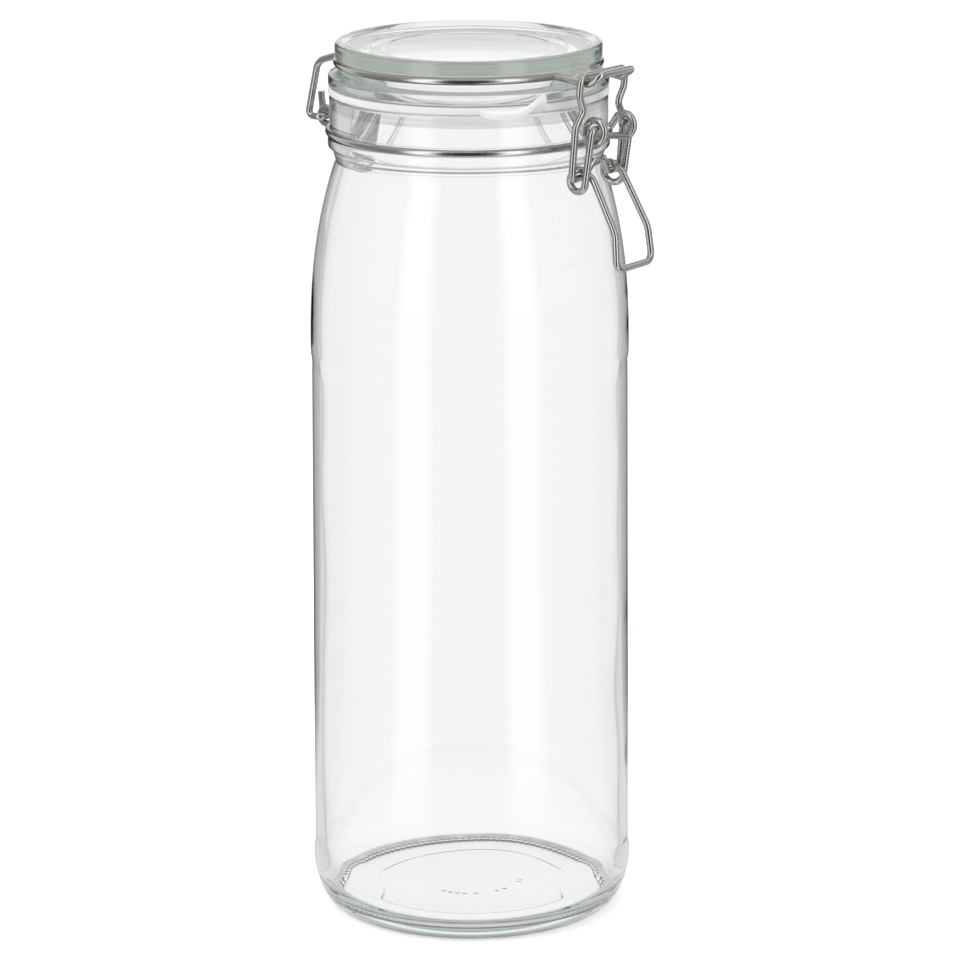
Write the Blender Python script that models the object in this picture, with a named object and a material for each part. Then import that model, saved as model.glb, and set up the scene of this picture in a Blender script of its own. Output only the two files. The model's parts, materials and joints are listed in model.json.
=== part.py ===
"""A clip-top glass jar at rest, with its lid shut and its clasp closed.

Metres, +Z up. The origin is the centre of the base on the jar's axis. The clasp is at -Y and the
hinge at +Y. Reach is the distance out from the axis along -Y at the clasp and along +Y at the
hinge. Side is the distance out along X.
"""

import math

import bmesh
import bpy
from mathutils import Matrix, Quaternion, Vector

CLEARANCE = 0.0003
WIRE_DIAMETER = 0.0023

# Glass jar, from the table up
BEARING_INNER_RADIUS = 0.0440
BEARING_OUTER_RADIUS = 0.0463
PUSH_UP = 0.0010
PUSH_UP_SLOPE = 0.0016
HEEL_HEIGHT = 0.0150
HEEL_POWER = 1.2
BODY_RADIUS = 0.0531
BODY_TOP_RADIUS = 0.0522
PANEL_DEPTH = 0.0004
PANEL_BOTTOM = 0.0195
PANEL_TOP_INSET = 0.0040
PANEL_STEP = 0.0022
SHOULDER_LENGTH = 0.0620
NECK_LENGTH = 0.0211
NECK_RADIUS = 0.0433
BEAD_RADIUS = 0.0458
BEAD_HEIGHT = 0.0039
BEAD_ROUND = 0.0012
GROOVE_RADIUS = 0.0440
COLLAR_RADIUS = 0.0452
RIM_HEIGHT = 0.2731
COLLAR_HEIGHT = 0.0104
RIM_ROUND = 0.0009
MOUTH_RADIUS = 0.0380
MOUTH_HEIGHT = 0.0130
WALL = 0.0032
BASE_THICKNESS = 0.0044
FLOOR_ROUND = 0.0080
SHOULDER_POWER = 2.4

# Gasket, which lies on the rim
GASKET_RADIUS = 0.0455
GASKET_THICKNESS = 0.0025
TAB_WIDTH = 0.0200
TAB_REACH = 0.0105
TAB_CURL = 0.0046
TAB_CURL_START_SHARE = 0.3
TAB_AZIMUTH = math.radians(37)

# Glass lid, which lies on the gasket
FLANGE_RADIUS = 0.0455
FLANGE_THICKNESS = 0.0036
FLANGE_ROUND = 0.0008
BOSS_RADIUS = 0.0362
BOSS_DEPTH = 0.0048
BOSS_ROUND = 0.0008
LID_HEIGHT = 0.0141
CROWN_RADIUS = 0.0433
CROWN_THICKNESS = 0.0052
CROWN_ROUND = 0.0014
CREST_INSET = 0.0022
DISH_DEPTH = 0.0014
DISH_SLOPE = 0.0030
DISH_STEP = 0.0003
DISH_STEP_RADII = (0.0315, 0.0260)
DISH_STEP_WIDTH = 0.0005
LID_GROOVE_RADIUS = 0.0412
LID_RECESS_RADIUS = 0.0318
LID_RECESS_DRAFT = 0.0010
LID_RECESS_ROUND = 0.0030
LID_PLATE = 0.0050

# Neck wire: the ring in the groove, two ears in front and two eyes behind
EAR_SIDE = 0.0081
EAR_STANDOFF = 0.0098
EAR_RISE = 0.0059
EAR_RADIUS = 0.0036
EAR_BAR_BEND = 0.0018
NEAR_BAR_TURN = math.radians(-35)
FAR_BAR_TURN = math.radians(177)
CROSSING_SIDE = 0.0040
EYE_SIDE = 0.0060
EYE_STANDOFF = 0.0080
EYE_DROP = 0.0003
EYE_RADIUS = 0.0027
EYE_BAR_STANDOFF = 0.0036
WIRE_BEND = 0.0018

# Lever: its ends hook in the ears, a coil on each side, and the handle below
PIN_TURN = math.radians(50)
PIN_REACH_PAST_EAR = 0.0028
ARM_SPACING = 0.0027
COIL_SETBACK = 0.0054
COIL_DROP = 0.0162
COIL_RADIUS = 0.0034
SHANK_STANDOUT = 0.0049
SHANK_RISE = 0.0004
SHANK_BEND = 0.0060
KNEE_STANDOUT = 0.0085
KNEE_DROP = 0.0160
KNEE_BEND = 0.0080
HANDLE_STANDOUT = 0.0096
HANDLE_DROP = 0.0271
HANDLE_FLARE = 0.0018
HANDLE_BEND = 0.0030

# Link: from the coils up over the nose of the lid wire
LINK_STRAIGHT = 0.0168
LINK_WAIST = 0.0220
LINK_WAIST_INSET = 0.0038
LINK_NECK = 0.0268
LINK_TOP_SPACING = 0.0032
LINK_BEND = 0.0028
TIP_CORNER_INSET = 0.0014
TIP_TOE_IN = 0.0043
TIP_LENGTH = 0.0052
TIP_LEAN = math.radians(78)

# Lid wire: the ring in the lid's groove, the nose in front and the legs behind
NOSE_SIDE = 0.0092
NOSE_ROOT_FLARE = 0.0011
SADDLE_STANDOFF = 0.0106
SADDLE_DROP = 0.0017
LIP_STANDOUT = 0.0045
LIP_RISE = 0.0015
LIP_BEND = 0.0020
LEG_SPACING = 0.0030
LEG_TOP_STANDOFF = 0.0120
LEG_TOP_DROP = 0.0042
LEG_BEND = 0.0045
LEG_FOOT_STANDOUT = 0.0055
TAIL_INSET = 0.0028
TAIL_STANDOUT = 0.0038
TAIL_LEAN = 0.0007
TAIL_LENGTH = 0.0072

# How finely round shapes are faceted
TURNS = 56
RING_STEP = math.radians(6)
BEND_STEP = math.radians(30)
COIL_STEP = math.radians(24)
WIRE_BEVEL_RESOLUTION = 2
ROUND_POINTS = 3
SHOULDER_POINTS = 8
HEEL_POINTS = 6
TAB_SHARES = (0.0, 0.35, 0.7, 1.0)
SHARP_ANGLE = math.radians(35)

# Heights and radii that follow from the sizes above
WIRE_RADIUS = WIRE_DIAMETER / 2
WIRE_PITCH = WIRE_DIAMETER + CLEARANCE
GROOVE_WIDTH = WIRE_DIAMETER + 2 * CLEARANCE
SHOULDER_TOP = RIM_HEIGHT - NECK_LENGTH
SHOULDER_BOTTOM = SHOULDER_TOP - SHOULDER_LENGTH
PANEL_TOP = SHOULDER_BOTTOM - PANEL_TOP_INSET
GROOVE_TOP = RIM_HEIGHT - COLLAR_HEIGHT
NECK_RING_HEIGHT = GROOVE_TOP - GROOVE_WIDTH / 2
NECK_RING_RADIUS = GROOVE_RADIUS + WIRE_RADIUS + CLEARANCE
GASKET_BOTTOM = RIM_HEIGHT + CLEARANCE
GASKET_TOP = GASKET_BOTTOM + GASKET_THICKNESS
FLANGE_BOTTOM = GASKET_TOP + CLEARANCE
FLANGE_TOP = FLANGE_BOTTOM + FLANGE_THICKNESS
LID_TOP = FLANGE_BOTTOM + LID_HEIGHT
CROWN_BOTTOM = LID_TOP - CROWN_THICKNESS
LID_RING_HEIGHT = CROWN_BOTTOM - WIRE_RADIUS - CLEARANCE
LID_RING_RADIUS = LID_GROOVE_RADIUS + WIRE_RADIUS + CLEARANCE
EAR_HEIGHT = NECK_RING_HEIGHT + EAR_RISE
EAR_REACH = NECK_RING_RADIUS + EAR_STANDOFF
EYE_HEIGHT = NECK_RING_HEIGHT - EYE_DROP
EYE_REACH = NECK_RING_RADIUS + EYE_STANDOFF
EYE_BAR_REACH = NECK_RING_RADIUS + EYE_BAR_STANDOFF
PIN_SEAT = EAR_RADIUS - WIRE_PITCH
PIN_REACH = EAR_REACH + PIN_SEAT * math.cos(PIN_TURN)
PIN_HEIGHT = EAR_HEIGHT + PIN_SEAT * math.sin(PIN_TURN)
PIN_END_SIDE = EAR_SIDE - PIN_REACH_PAST_EAR
ARM_SIDE = EAR_SIDE + ARM_SPACING
COIL_PIN_LIFT = COIL_RADIUS - WIRE_PITCH
COIL_HEIGHT = EAR_HEIGHT - COIL_DROP
COIL_REACH = EAR_REACH - COIL_SETBACK
HANDLE_COIL_SIDE = ARM_SIDE - WIRE_PITCH
SHANK_REACH = COIL_REACH + SHANK_STANDOUT
SHANK_HEIGHT = COIL_HEIGHT + SHANK_RISE
KNEE_HEIGHT = COIL_HEIGHT - KNEE_DROP
KNEE_REACH = EAR_REACH + KNEE_STANDOUT
HANDLE_HEIGHT = COIL_HEIGHT - HANDLE_DROP
HANDLE_REACH = EAR_REACH + HANDLE_STANDOUT
HANDLE_SIDE = HANDLE_COIL_SIDE + HANDLE_FLARE
SADDLE_HEIGHT = LID_RING_HEIGHT - SADDLE_DROP
SADDLE_REACH = LID_RING_RADIUS + SADDLE_STANDOFF
LIP_HEIGHT = LID_RING_HEIGHT + LIP_RISE
LIP_REACH = SADDLE_REACH + LIP_STANDOUT
NOSE_RING_SIDE = NOSE_SIDE + NOSE_ROOT_FLARE
LEG_SIDE = EYE_SIDE + LEG_SPACING
LEG_TOP_REACH = LID_RING_RADIUS + LEG_TOP_STANDOFF
LEG_FOOT_REACH = EYE_REACH + LEG_FOOT_STANDOUT
TAIL_SIDE = EYE_SIDE - TAIL_INSET
TAIL_REACH = EYE_REACH + TAIL_STANDOUT
LINK_SIDE = ARM_SIDE + WIRE_PITCH
LINK_WAIST_SIDE = LINK_SIDE - LINK_WAIST_INSET
LINK_TOP_SIDE = NOSE_SIDE + LINK_TOP_SPACING
TIP_CORNER_SIDE = HANDLE_COIL_SIDE - TIP_CORNER_INSET
TIP_SIDE = TIP_CORNER_SIDE - TIP_TOE_IN

FRONT = -1
BACK = 1
HINGE_AXIS = Vector((0, BACK * EYE_REACH, EYE_HEIGHT))
LEVER_AXIS = Vector((0, FRONT * PIN_REACH, PIN_HEIGHT))
LINK_AXIS = Vector((0, FRONT * COIL_REACH, COIL_HEIGHT + COIL_PIN_LIFT))


def clear_scene():
    for obj in list(bpy.data.objects):
        bpy.data.objects.remove(obj, do_unlink=True)


def material(name, colour, roughness, metallic=0.0, transmission=0.0):
    made = bpy.data.materials.new(name)
    made.use_nodes = True
    shader = made.node_tree.nodes["Principled BSDF"]
    shader.inputs["Base Color"].default_value = (*colour, 1)
    shader.inputs["Roughness"].default_value = roughness
    shader.inputs["Metallic"].default_value = metallic
    shader.inputs["Transmission Weight"].default_value = transmission
    return made


def quarter(centre, radius, start, end, points=ROUND_POINTS):
    """Points of an arc in a profile, from one angle in degrees to another, about (radius, height)."""
    made = []
    for i in range(points + 1):
        turn = math.radians(start + (end - start) * i / points)
        made.append((centre[0] + radius * math.cos(turn), centre[1] + radius * math.sin(turn)))
    return made


def turned(name, outline, closed, finish):
    """A solid turned about Z. A closed outline is a ring's; an open one starts and ends on the axis."""
    mesh = bpy.data.meshes.new(name)
    bm = bmesh.new()
    rings = []
    for radius, height in outline:
        if radius == 0:
            rings.append([bm.verts.new((0, 0, height))])
            continue
        ring = []
        for i in range(TURNS):
            turn = 2 * math.pi * i / TURNS
            ring.append(bm.verts.new((radius * math.cos(turn), radius * math.sin(turn), height)))
        rings.append(ring)
    pairs = list(zip(rings, rings[1:]))
    if closed:
        pairs.append((rings[-1], rings[0]))
    for upper, lower in pairs:
        for i in range(TURNS):
            j = (i + 1) % TURNS
            corners = [upper[i % len(upper)], upper[j % len(upper)]]
            corners += [lower[j % len(lower)], lower[i % len(lower)]]
            bm.faces.new(dict.fromkeys(corners))
    return finished(name, mesh, bm, finish)


def finished(name, mesh, bm, finish):
    bmesh.ops.recalc_face_normals(bm, faces=bm.faces)
    bm.to_mesh(mesh)
    bm.free()
    mesh.shade_smooth()
    mesh.set_sharp_from_angle(angle=SHARP_ANGLE)
    mesh.materials.append(finish)
    obj = bpy.data.objects.new(name, mesh)
    bpy.context.collection.objects.link(obj)
    return obj


def at(side, reach, height, end=FRONT):
    return Vector((side, end * reach, height))


def touch_angle(centre, radius, point, side):
    """The angle on a circle, in the reach and height plane, where a line from point touches it."""
    across, up = point[0] - centre[0], point[1] - centre[1]
    return math.atan2(up, across) + side * math.acos(radius / math.hypot(across, up))


def loop(centre, radius, start, end, side_start, side_end, half=FRONT, step=COIL_STEP):
    """Points around a circle in the reach and height plane, which may shift sideways as it turns."""
    count = max(2, math.ceil(abs(end - start) / step))
    made = []
    for i in range(count + 1):
        share = i / count
        turn = start + (end - start) * share
        side = side_start + (side_end - side_start) * share
        reach = centre[0] + radius * math.cos(turn)
        made.append(at(side, reach, centre[1] + radius * math.sin(turn), half))
    return made


def ring_arc(radius, height, start, end):
    """Points along a ring about the axis. The angle is 0 at the clasp, and positive towards +X."""
    count = max(2, math.ceil(abs(end - start) / RING_STEP))
    made = []
    for i in range(count + 1):
        turn = start + (end - start) * i / count
        made.append(Vector((radius * math.sin(turn), -radius * math.cos(turn), height)))
    return made


def bent(corners):
    """The route through corners of (point, bend radius), each corner rounded by an arc."""
    made = [corners[0][0]]
    for (before, _), (corner, radius), (after, _) in zip(corners, corners[1:], corners[2:]):
        inward = (before - corner).normalized()
        outward = (after - corner).normalized()
        turn = math.pi - inward.angle(outward)
        if radius == 0 or turn < BEND_STEP / 4:
            made.append(corner)
            continue
        reach = min((before - corner).length, (after - corner).length) / 2
        tangent = min(radius * math.tan(turn / 2), reach)
        radius = tangent / math.tan(turn / 2)
        centre = corner + (inward + outward).normalized() * radius / math.cos(turn / 2)
        first = corner + inward * tangent - centre
        axis = inward.cross(outward)
        count = math.ceil(turn / BEND_STEP)
        for i in range(count + 1):
            made.append(centre + Quaternion(axis, -turn * i / count) @ first)
    made.append(corners[-1][0])
    return made


def plain(points):
    return [(point, 0) for point in points]


def wire(name, points, cyclic, finish):
    curve = bpy.data.curves.new(name, "CURVE")
    curve.dimensions = "3D"
    curve.bevel_depth = WIRE_RADIUS
    curve.bevel_resolution = WIRE_BEVEL_RESOLUTION
    curve.use_fill_caps = not cyclic
    spline = curve.splines.new("POLY")
    spline.points.add(len(points) - 1)
    for target, point in zip(spline.points, points):
        target.co = (*point, 1)
    spline.use_cyclic_u = cyclic
    spline.use_smooth = True
    curve.materials.append(finish)
    obj = bpy.data.objects.new(name, curve)
    bpy.context.collection.objects.link(obj)
    return obj


def carried_at(obj, axis):
    """Puts the object's origin on its joint's axis, with its shape where it was."""
    obj.data.transform(Matrix.Translation(-axis))
    obj.location = axis


def shoulder_radius(height):
    share = (SHOULDER_TOP - height) / (SHOULDER_TOP - SHOULDER_BOTTOM)
    return NECK_RADIUS + (BODY_TOP_RADIUS - NECK_RADIUS) * (1 - (1 - share) ** SHOULDER_POWER)


def body_radius(height):
    """The body narrows a little from the heel up to the shoulder."""
    share = (height - HEEL_HEIGHT) / (SHOULDER_BOTTOM - HEEL_HEIGHT)
    return BODY_RADIUS + (BODY_TOP_RADIUS - BODY_RADIUS) * share


def shoulder_heights():
    drop = SHOULDER_TOP - SHOULDER_BOTTOM
    return [SHOULDER_TOP - drop * (i / SHOULDER_POINTS) ** 1.3 for i in range(SHOULDER_POINTS + 1)]


def heel():
    made = []
    for i in range(HEEL_POINTS + 1):
        turn = math.pi / 2 * i / HEEL_POINTS
        out = (BODY_RADIUS - BEARING_OUTER_RADIUS) * math.cos(turn) ** HEEL_POWER
        made.append((BEARING_OUTER_RADIUS + out, HEEL_HEIGHT * (1 - math.sin(turn) ** HEEL_POWER)))
    return made


def jar_outline():
    """From the middle of the floor, up inside, over the rim, and down outside to the base."""
    inner_body = BODY_RADIUS - WALL
    mouth_bottom = RIM_HEIGHT - MOUTH_HEIGHT
    outline = [(0, BASE_THICKNESS)]
    floor_corner = (inner_body - FLOOR_ROUND, BASE_THICKNESS + FLOOR_ROUND)
    outline += quarter(floor_corner, FLOOR_ROUND, 270, 360)
    for height in reversed(shoulder_heights()):
        outline.append((shoulder_radius(height) - WALL, height))
    outline.append((MOUTH_RADIUS, mouth_bottom))
    outline += quarter((MOUTH_RADIUS + RIM_ROUND, RIM_HEIGHT - RIM_ROUND), RIM_ROUND, 180, 90)
    outline += quarter((COLLAR_RADIUS - RIM_ROUND, RIM_HEIGHT - RIM_ROUND), RIM_ROUND, 90, 0)
    outline.append((COLLAR_RADIUS, GROOVE_TOP))
    outline.append((GROOVE_RADIUS, GROOVE_TOP))
    bead_top = GROOVE_TOP - GROOVE_WIDTH
    outline.append((GROOVE_RADIUS, bead_top))
    bead_core = BEAD_RADIUS - BEAD_ROUND
    outline += quarter((bead_core, bead_top - BEAD_ROUND), BEAD_ROUND, 90, 0)
    bead_bottom = bead_top - BEAD_HEIGHT
    outline += quarter((bead_core, bead_bottom + BEAD_ROUND), BEAD_ROUND, 0, -90)
    outline.append((NECK_RADIUS, bead_bottom - BEAD_ROUND))
    for height in shoulder_heights():
        outline.append((shoulder_radius(height), height))
    outline.append((body_radius(PANEL_TOP + PANEL_STEP), PANEL_TOP + PANEL_STEP))
    outline.append((body_radius(PANEL_TOP) - PANEL_DEPTH, PANEL_TOP))
    outline.append((body_radius(PANEL_BOTTOM) - PANEL_DEPTH, PANEL_BOTTOM))
    outline.append((body_radius(PANEL_BOTTOM - PANEL_STEP), PANEL_BOTTOM - PANEL_STEP))
    outline += heel()
    outline.append((BEARING_INNER_RADIUS, 0))
    outline.append((BEARING_INNER_RADIUS - PUSH_UP_SLOPE, PUSH_UP))
    outline.append((0, PUSH_UP))
    return outline


def lid_outline():
    """From the middle of the lid's top, down outside, and back under the lid to the axis."""
    crest = CROWN_RADIUS - CREST_INSET
    dish_edge = crest - DISH_SLOPE
    dish = LID_TOP - DISH_DEPTH
    middle = dish - DISH_STEP * len(DISH_STEP_RADII)
    outline = [(0, middle)]
    for step, radius in enumerate(reversed(DISH_STEP_RADII)):
        outline.append((radius, middle + DISH_STEP * step))
        outline.append((radius + DISH_STEP_WIDTH, middle + DISH_STEP * (step + 1)))
    outline.append((dish_edge, dish))
    outline.append((crest, LID_TOP))
    outline += quarter((CROWN_RADIUS - CROWN_ROUND, LID_TOP - CROWN_ROUND), CROWN_ROUND, 60, 0)
    outline.append((CROWN_RADIUS, CROWN_BOTTOM + CLEARANCE))
    outline.append((LID_GROOVE_RADIUS, CROWN_BOTTOM))
    outline.append((LID_GROOVE_RADIUS, CROWN_BOTTOM - GROOVE_WIDTH))
    flange = (FLANGE_RADIUS - FLANGE_ROUND, FLANGE_TOP - FLANGE_ROUND)
    outline += quarter(flange, FLANGE_ROUND, 90, 0)
    outline.append((FLANGE_RADIUS, FLANGE_BOTTOM + FLANGE_ROUND))
    outline.append((FLANGE_RADIUS - FLANGE_ROUND, FLANGE_BOTTOM))
    outline.append((BOSS_RADIUS, FLANGE_BOTTOM))
    boss_bottom = FLANGE_BOTTOM - BOSS_DEPTH
    outline += quarter((BOSS_RADIUS - BOSS_ROUND, boss_bottom + BOSS_ROUND), BOSS_ROUND, 0, -90)
    outline.append((LID_RECESS_RADIUS, boss_bottom))
    ceiling = middle - LID_PLATE
    top_radius = LID_RECESS_RADIUS - LID_RECESS_DRAFT
    recess = (top_radius - LID_RECESS_ROUND, ceiling - LID_RECESS_ROUND)
    outline += quarter(recess, LID_RECESS_ROUND, 0, 90)
    outline.append((0, ceiling))
    return outline


def make_gasket(finish):
    """A flat ring with a pull tab, whose half towards the clasp curls up."""
    inner = BOSS_RADIUS + CLEARANCE
    mesh = bpy.data.meshes.new("gasket")
    bm = bmesh.new()
    half_angle = TAB_WIDTH / 2 / GASKET_RADIUS
    columns = []
    for turn in gasket_turns(half_angle):
        across = (turn + TAB_AZIMUTH) / half_angle
        reach = TAB_REACH * max(0.0, 1 - abs(across) ** 4) ** 0.5
        curl = max(0.0, min(1.0, (across + TAB_CURL_START_SHARE) / (1 + TAB_CURL_START_SHARE))) ** 2
        lift = TAB_CURL * curl * reach / TAB_REACH
        column = [(inner, 0.0)]
        for share in TAB_SHARES:
            column.append((GASKET_RADIUS + reach * share, lift * share**2))
        columns.append((turn, column))
    rings = []
    for turn, column in columns:
        section = [(radius, GASKET_TOP + lift) for radius, lift in column]
        section += [(radius, GASKET_BOTTOM + lift) for radius, lift in reversed(column)]
        if column[-1][0] - GASKET_RADIUS < CLEARANCE:
            section = [section[0], section[1], section[-2], section[-1]]
        rings.append([bm.verts.new((r * math.sin(turn), -r * math.cos(turn), z)) for r, z in section])
    for ring, following in zip(rings, rings[1:] + rings[:1]):
        bridge(bm, ring, following)
    return finished("gasket", mesh, bm, finish)


def gasket_turns(half_angle):
    """The angles of the gasket's sections: even round the ring, and closer along the tab."""
    tab = [-TAB_AZIMUTH + half_angle * share / 5 for share in range(-5, 6)]
    rest = 2 * math.pi - 2 * half_angle
    count = TURNS - 6
    return tab + [tab[-1] + rest * i / count for i in range(1, count)]


def bridge(bm, ring, following):
    """Joins two sections, where one may have the tab's extra points and the other not."""
    if len(ring) == len(following):
        for i in range(len(ring)):
            j = (i + 1) % len(ring)
            bm.faces.new((ring[i], ring[j], following[j], following[i]))
        return
    few, many = sorted((ring, following), key=len)
    last = len(many) // 2 - 1
    bm.faces.new((few[0], few[1], many[1], many[0]))
    bm.faces.new((few[3], few[2], many[-2], many[-1]))
    bm.faces.new((few[0], few[3], many[-1], many[0]))
    for i in range(1, last):
        bm.faces.new((few[1], many[i], many[i + 1]))
        bm.faces.new((few[2], many[-1 - i], many[-2 - i]))
    bm.faces.new((few[1], few[2], many[last + 1], many[last]))


def bar_end(side, turn, bend):
    """The corner that joins the bar to an ear, past the end of its loop, or before its start."""
    reach = EAR_REACH + EAR_RADIUS * math.cos(turn) + bend * math.sin(turn)
    return at(side, reach, EAR_HEIGHT + EAR_RADIUS * math.sin(turn) - bend * math.cos(turn)), EAR_BAR_BEND


def neck_wire_route():
    """One closed wire. The two strands cross in front, and each makes the ear on its far side."""
    ring_height = NECK_RING_HEIGHT
    ear = (EAR_REACH, EAR_HEIGHT)
    eye = (EYE_REACH, EYE_HEIGHT)
    eye_ring_angle = math.pi - math.asin(EYE_SIDE / NECK_RING_RADIUS)
    eye_start = math.sqrt(NECK_RING_RADIUS**2 - EYE_SIDE**2)
    near = ring_arc(NECK_RING_RADIUS, ring_height, -eye_ring_angle, -CROSSING_SIDE / NECK_RING_RADIUS)
    route = [(near[0], WIRE_BEND)] + plain(near[1:])
    # The first strand rises through the crossing to the ear at +X
    foot = (NECK_RING_RADIUS + 2 * WIRE_DIAMETER, ring_height + 2 * WIRE_DIAMETER)
    route += [
        (at(CROSSING_SIDE / 4, NECK_RING_RADIUS + WIRE_PITCH / 2, ring_height + WIRE_RADIUS / 2), CROSSING_SIDE),
        (at(CROSSING_SIDE, NECK_RING_RADIUS + WIRE_DIAMETER, ring_height + WIRE_PITCH), CROSSING_SIDE),
        (at(EAR_SIDE, *foot), WIRE_BEND),
    ]
    ear_start = touch_angle(ear, EAR_RADIUS, foot, -1) + 2 * math.pi
    route += plain(loop(ear, EAR_RADIUS, ear_start, NEAR_BAR_TURN, EAR_SIDE, EAR_SIDE))
    # The bar between the ears, from the outside of one to the inside of the other
    route += [bar_end(EAR_SIDE, NEAR_BAR_TURN, EAR_BAR_BEND), bar_end(-EAR_SIDE, FAR_BAR_TURN, -EAR_BAR_BEND)]
    # The ear at -X, whose strand comes down and crosses in front of the first
    heel_of_ear = (EAR_REACH - EAR_RADIUS, ring_height + WIRE_RADIUS)
    ear_out = touch_angle(ear, EAR_RADIUS, heel_of_ear, 1)
    route += plain(loop(ear, EAR_RADIUS, FAR_BAR_TURN, ear_out, -EAR_SIDE, -EAR_SIDE))
    dip = ring_height - WIRE_RADIUS / 2
    front = NECK_RING_RADIUS + WIRE_PITCH + WIRE_RADIUS
    route += [
        (at(-EAR_SIDE, *heel_of_ear), WIRE_BEND),
        (at(-CROSSING_SIDE, front + WIRE_RADIUS, ring_height), CROSSING_SIDE),
        (at(CROSSING_SIDE / 4, front, dip), CROSSING_SIDE),
        (at(EAR_SIDE, NECK_RING_RADIUS + WIRE_RADIUS, dip), CROSSING_SIDE),
    ]
    entry = math.asin((EAR_SIDE + CROSSING_SIDE + WIRE_RADIUS) / NECK_RING_RADIUS)
    far = ring_arc(NECK_RING_RADIUS, ring_height, entry, eye_ring_angle)
    route += plain(far[:-1]) + [(far[-1], WIRE_BEND)]
    # The eyes behind, and the bar between them
    eye_in = touch_angle(eye, EYE_RADIUS, (eye_start, ring_height), -1)
    eye_points = loop(eye, EYE_RADIUS, eye_in, -math.pi / 2, EYE_SIDE, EYE_SIDE, BACK)
    bar = at(EYE_SIDE, EYE_BAR_REACH, EYE_HEIGHT - EYE_RADIUS, BACK)
    half = plain(eye_points) + [(bar, WIRE_BEND)]
    route += half
    route += [(Vector((-point.x, point.y, point.z)), bend) for point, bend in reversed(half)]
    return closed_bend(route)


def closed_bend(corners):
    """Like bent, for a closed route: its first corner is rounded too."""
    route = bent([corners[-1]] + corners + [corners[0]])
    return route[1:-1]


def lid_wire_route():
    """The tail and hook in the eye, the leg, half of the ring and of the nose, then the mirror image."""
    pin = (EYE_REACH, EYE_HEIGHT)
    leg_top = (LEG_TOP_REACH, LID_RING_HEIGHT - LEG_TOP_DROP)
    leg_ring = math.sqrt(LID_RING_RADIUS**2 - LEG_SIDE**2)
    start = math.pi - math.asin(LEG_SIDE / LID_RING_RADIUS)
    end = math.asin(NOSE_RING_SIDE / LID_RING_RADIUS)
    ring = ring_arc(LID_RING_RADIUS, LID_RING_HEIGHT, start, end)[1:-1]
    nose_ring = math.sqrt(LID_RING_RADIUS**2 - NOSE_RING_SIDE**2)
    half = [
        (at(TAIL_SIDE, TAIL_REACH + TAIL_LEAN, EYE_HEIGHT + TAIL_LENGTH, BACK), 0),
        (at(TAIL_SIDE, TAIL_REACH, EYE_HEIGHT, BACK), WIRE_BEND),
        (at(TAIL_SIDE, *pin, BACK), WIRE_BEND),
        (at(LEG_SIDE, *pin, BACK), WIRE_BEND),
        (at(LEG_SIDE, LEG_FOOT_REACH, EYE_HEIGHT, BACK), WIRE_BEND),
        (at(LEG_SIDE, *leg_top, BACK), LEG_BEND),
        (at(LEG_SIDE, leg_ring, LID_RING_HEIGHT, BACK), LEG_BEND),
        *plain(ring),
        (at(NOSE_RING_SIDE, nose_ring, LID_RING_HEIGHT), LEG_BEND),
        (at(NOSE_SIDE, SADDLE_REACH, SADDLE_HEIGHT), LIP_BEND),
        (at(NOSE_SIDE, LIP_REACH, LIP_HEIGHT), LIP_BEND),
    ]
    return bent(half + [(Vector((-point.x, point.y, point.z)), bend) for point, bend in reversed(half)])


def lever_wire_route():
    pin = (-LEVER_AXIS.y, LEVER_AXIS.z)
    coil = (COIL_REACH, COIL_HEIGHT)
    shank = (SHANK_REACH, SHANK_HEIGHT)
    knee = (KNEE_REACH, KNEE_HEIGHT)
    coil_start = touch_angle(coil, COIL_RADIUS, pin, -1)
    coil_end = touch_angle(coil, COIL_RADIUS, shank, 1) - 2 * math.pi
    turns = loop(coil, COIL_RADIUS, coil_start, coil_end, ARM_SIDE, HANDLE_COIL_SIDE)
    half = [
        (at(PIN_END_SIDE, *pin), 0),
        (at(ARM_SIDE, *pin), WIRE_BEND),
        *plain(turns),
        (at(HANDLE_COIL_SIDE, *shank), SHANK_BEND),
        (at((HANDLE_COIL_SIDE + HANDLE_SIDE) / 2, *knee), KNEE_BEND),
        (at(HANDLE_SIDE, HANDLE_REACH, HANDLE_HEIGHT), HANDLE_BEND),
    ]
    return bent(half + [(Vector((-point.x, point.y, point.z)), bend) for point, bend in reversed(half)])


def link_top():
    """Where the top bar rests: in the corner of the nose, a clearance above both of its flanks."""
    saddle = Vector((SADDLE_REACH, SADDLE_HEIGHT))
    nose_ring = math.sqrt(LID_RING_RADIUS**2 - NOSE_RING_SIDE**2)
    inner = (Vector((nose_ring, LID_RING_HEIGHT)) - saddle).normalized()
    outer = (Vector((LIP_REACH, LIP_HEIGHT)) - saddle).normalized()
    half_angle = inner.angle(outer) / 2
    return saddle + (inner + outer).normalized() * WIRE_PITCH / math.sin(half_angle)


def link_wire_route():
    """The cut tip, the pin in the coil, the bowed leg and the top bar, then the mirror image."""
    pin = Vector((-LINK_AXIS.y, LINK_AXIS.z))
    top = link_top()
    along = (top - pin).normalized()
    tip = pin + Vector((math.cos(TIP_LEAN), math.sin(TIP_LEAN))) * TIP_LENGTH
    half = [
        (at(TIP_SIDE, *tip), 0),
        (at(TIP_CORNER_SIDE, *pin), WIRE_BEND),
        (at(LINK_SIDE, *pin), WIRE_BEND),
        (at(LINK_SIDE, *(pin + along * LINK_STRAIGHT)), LINK_BEND),
        (at(LINK_WAIST_SIDE, *(pin + along * LINK_WAIST)), LINK_BEND),
        (at(LINK_TOP_SIDE, *(pin + along * LINK_NECK)), LINK_BEND),
        (at(LINK_TOP_SIDE, *top), LINK_BEND),
    ]
    return bent(half + [(Vector((-point.x, point.y, point.z)), bend) for point, bend in reversed(half)])


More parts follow.
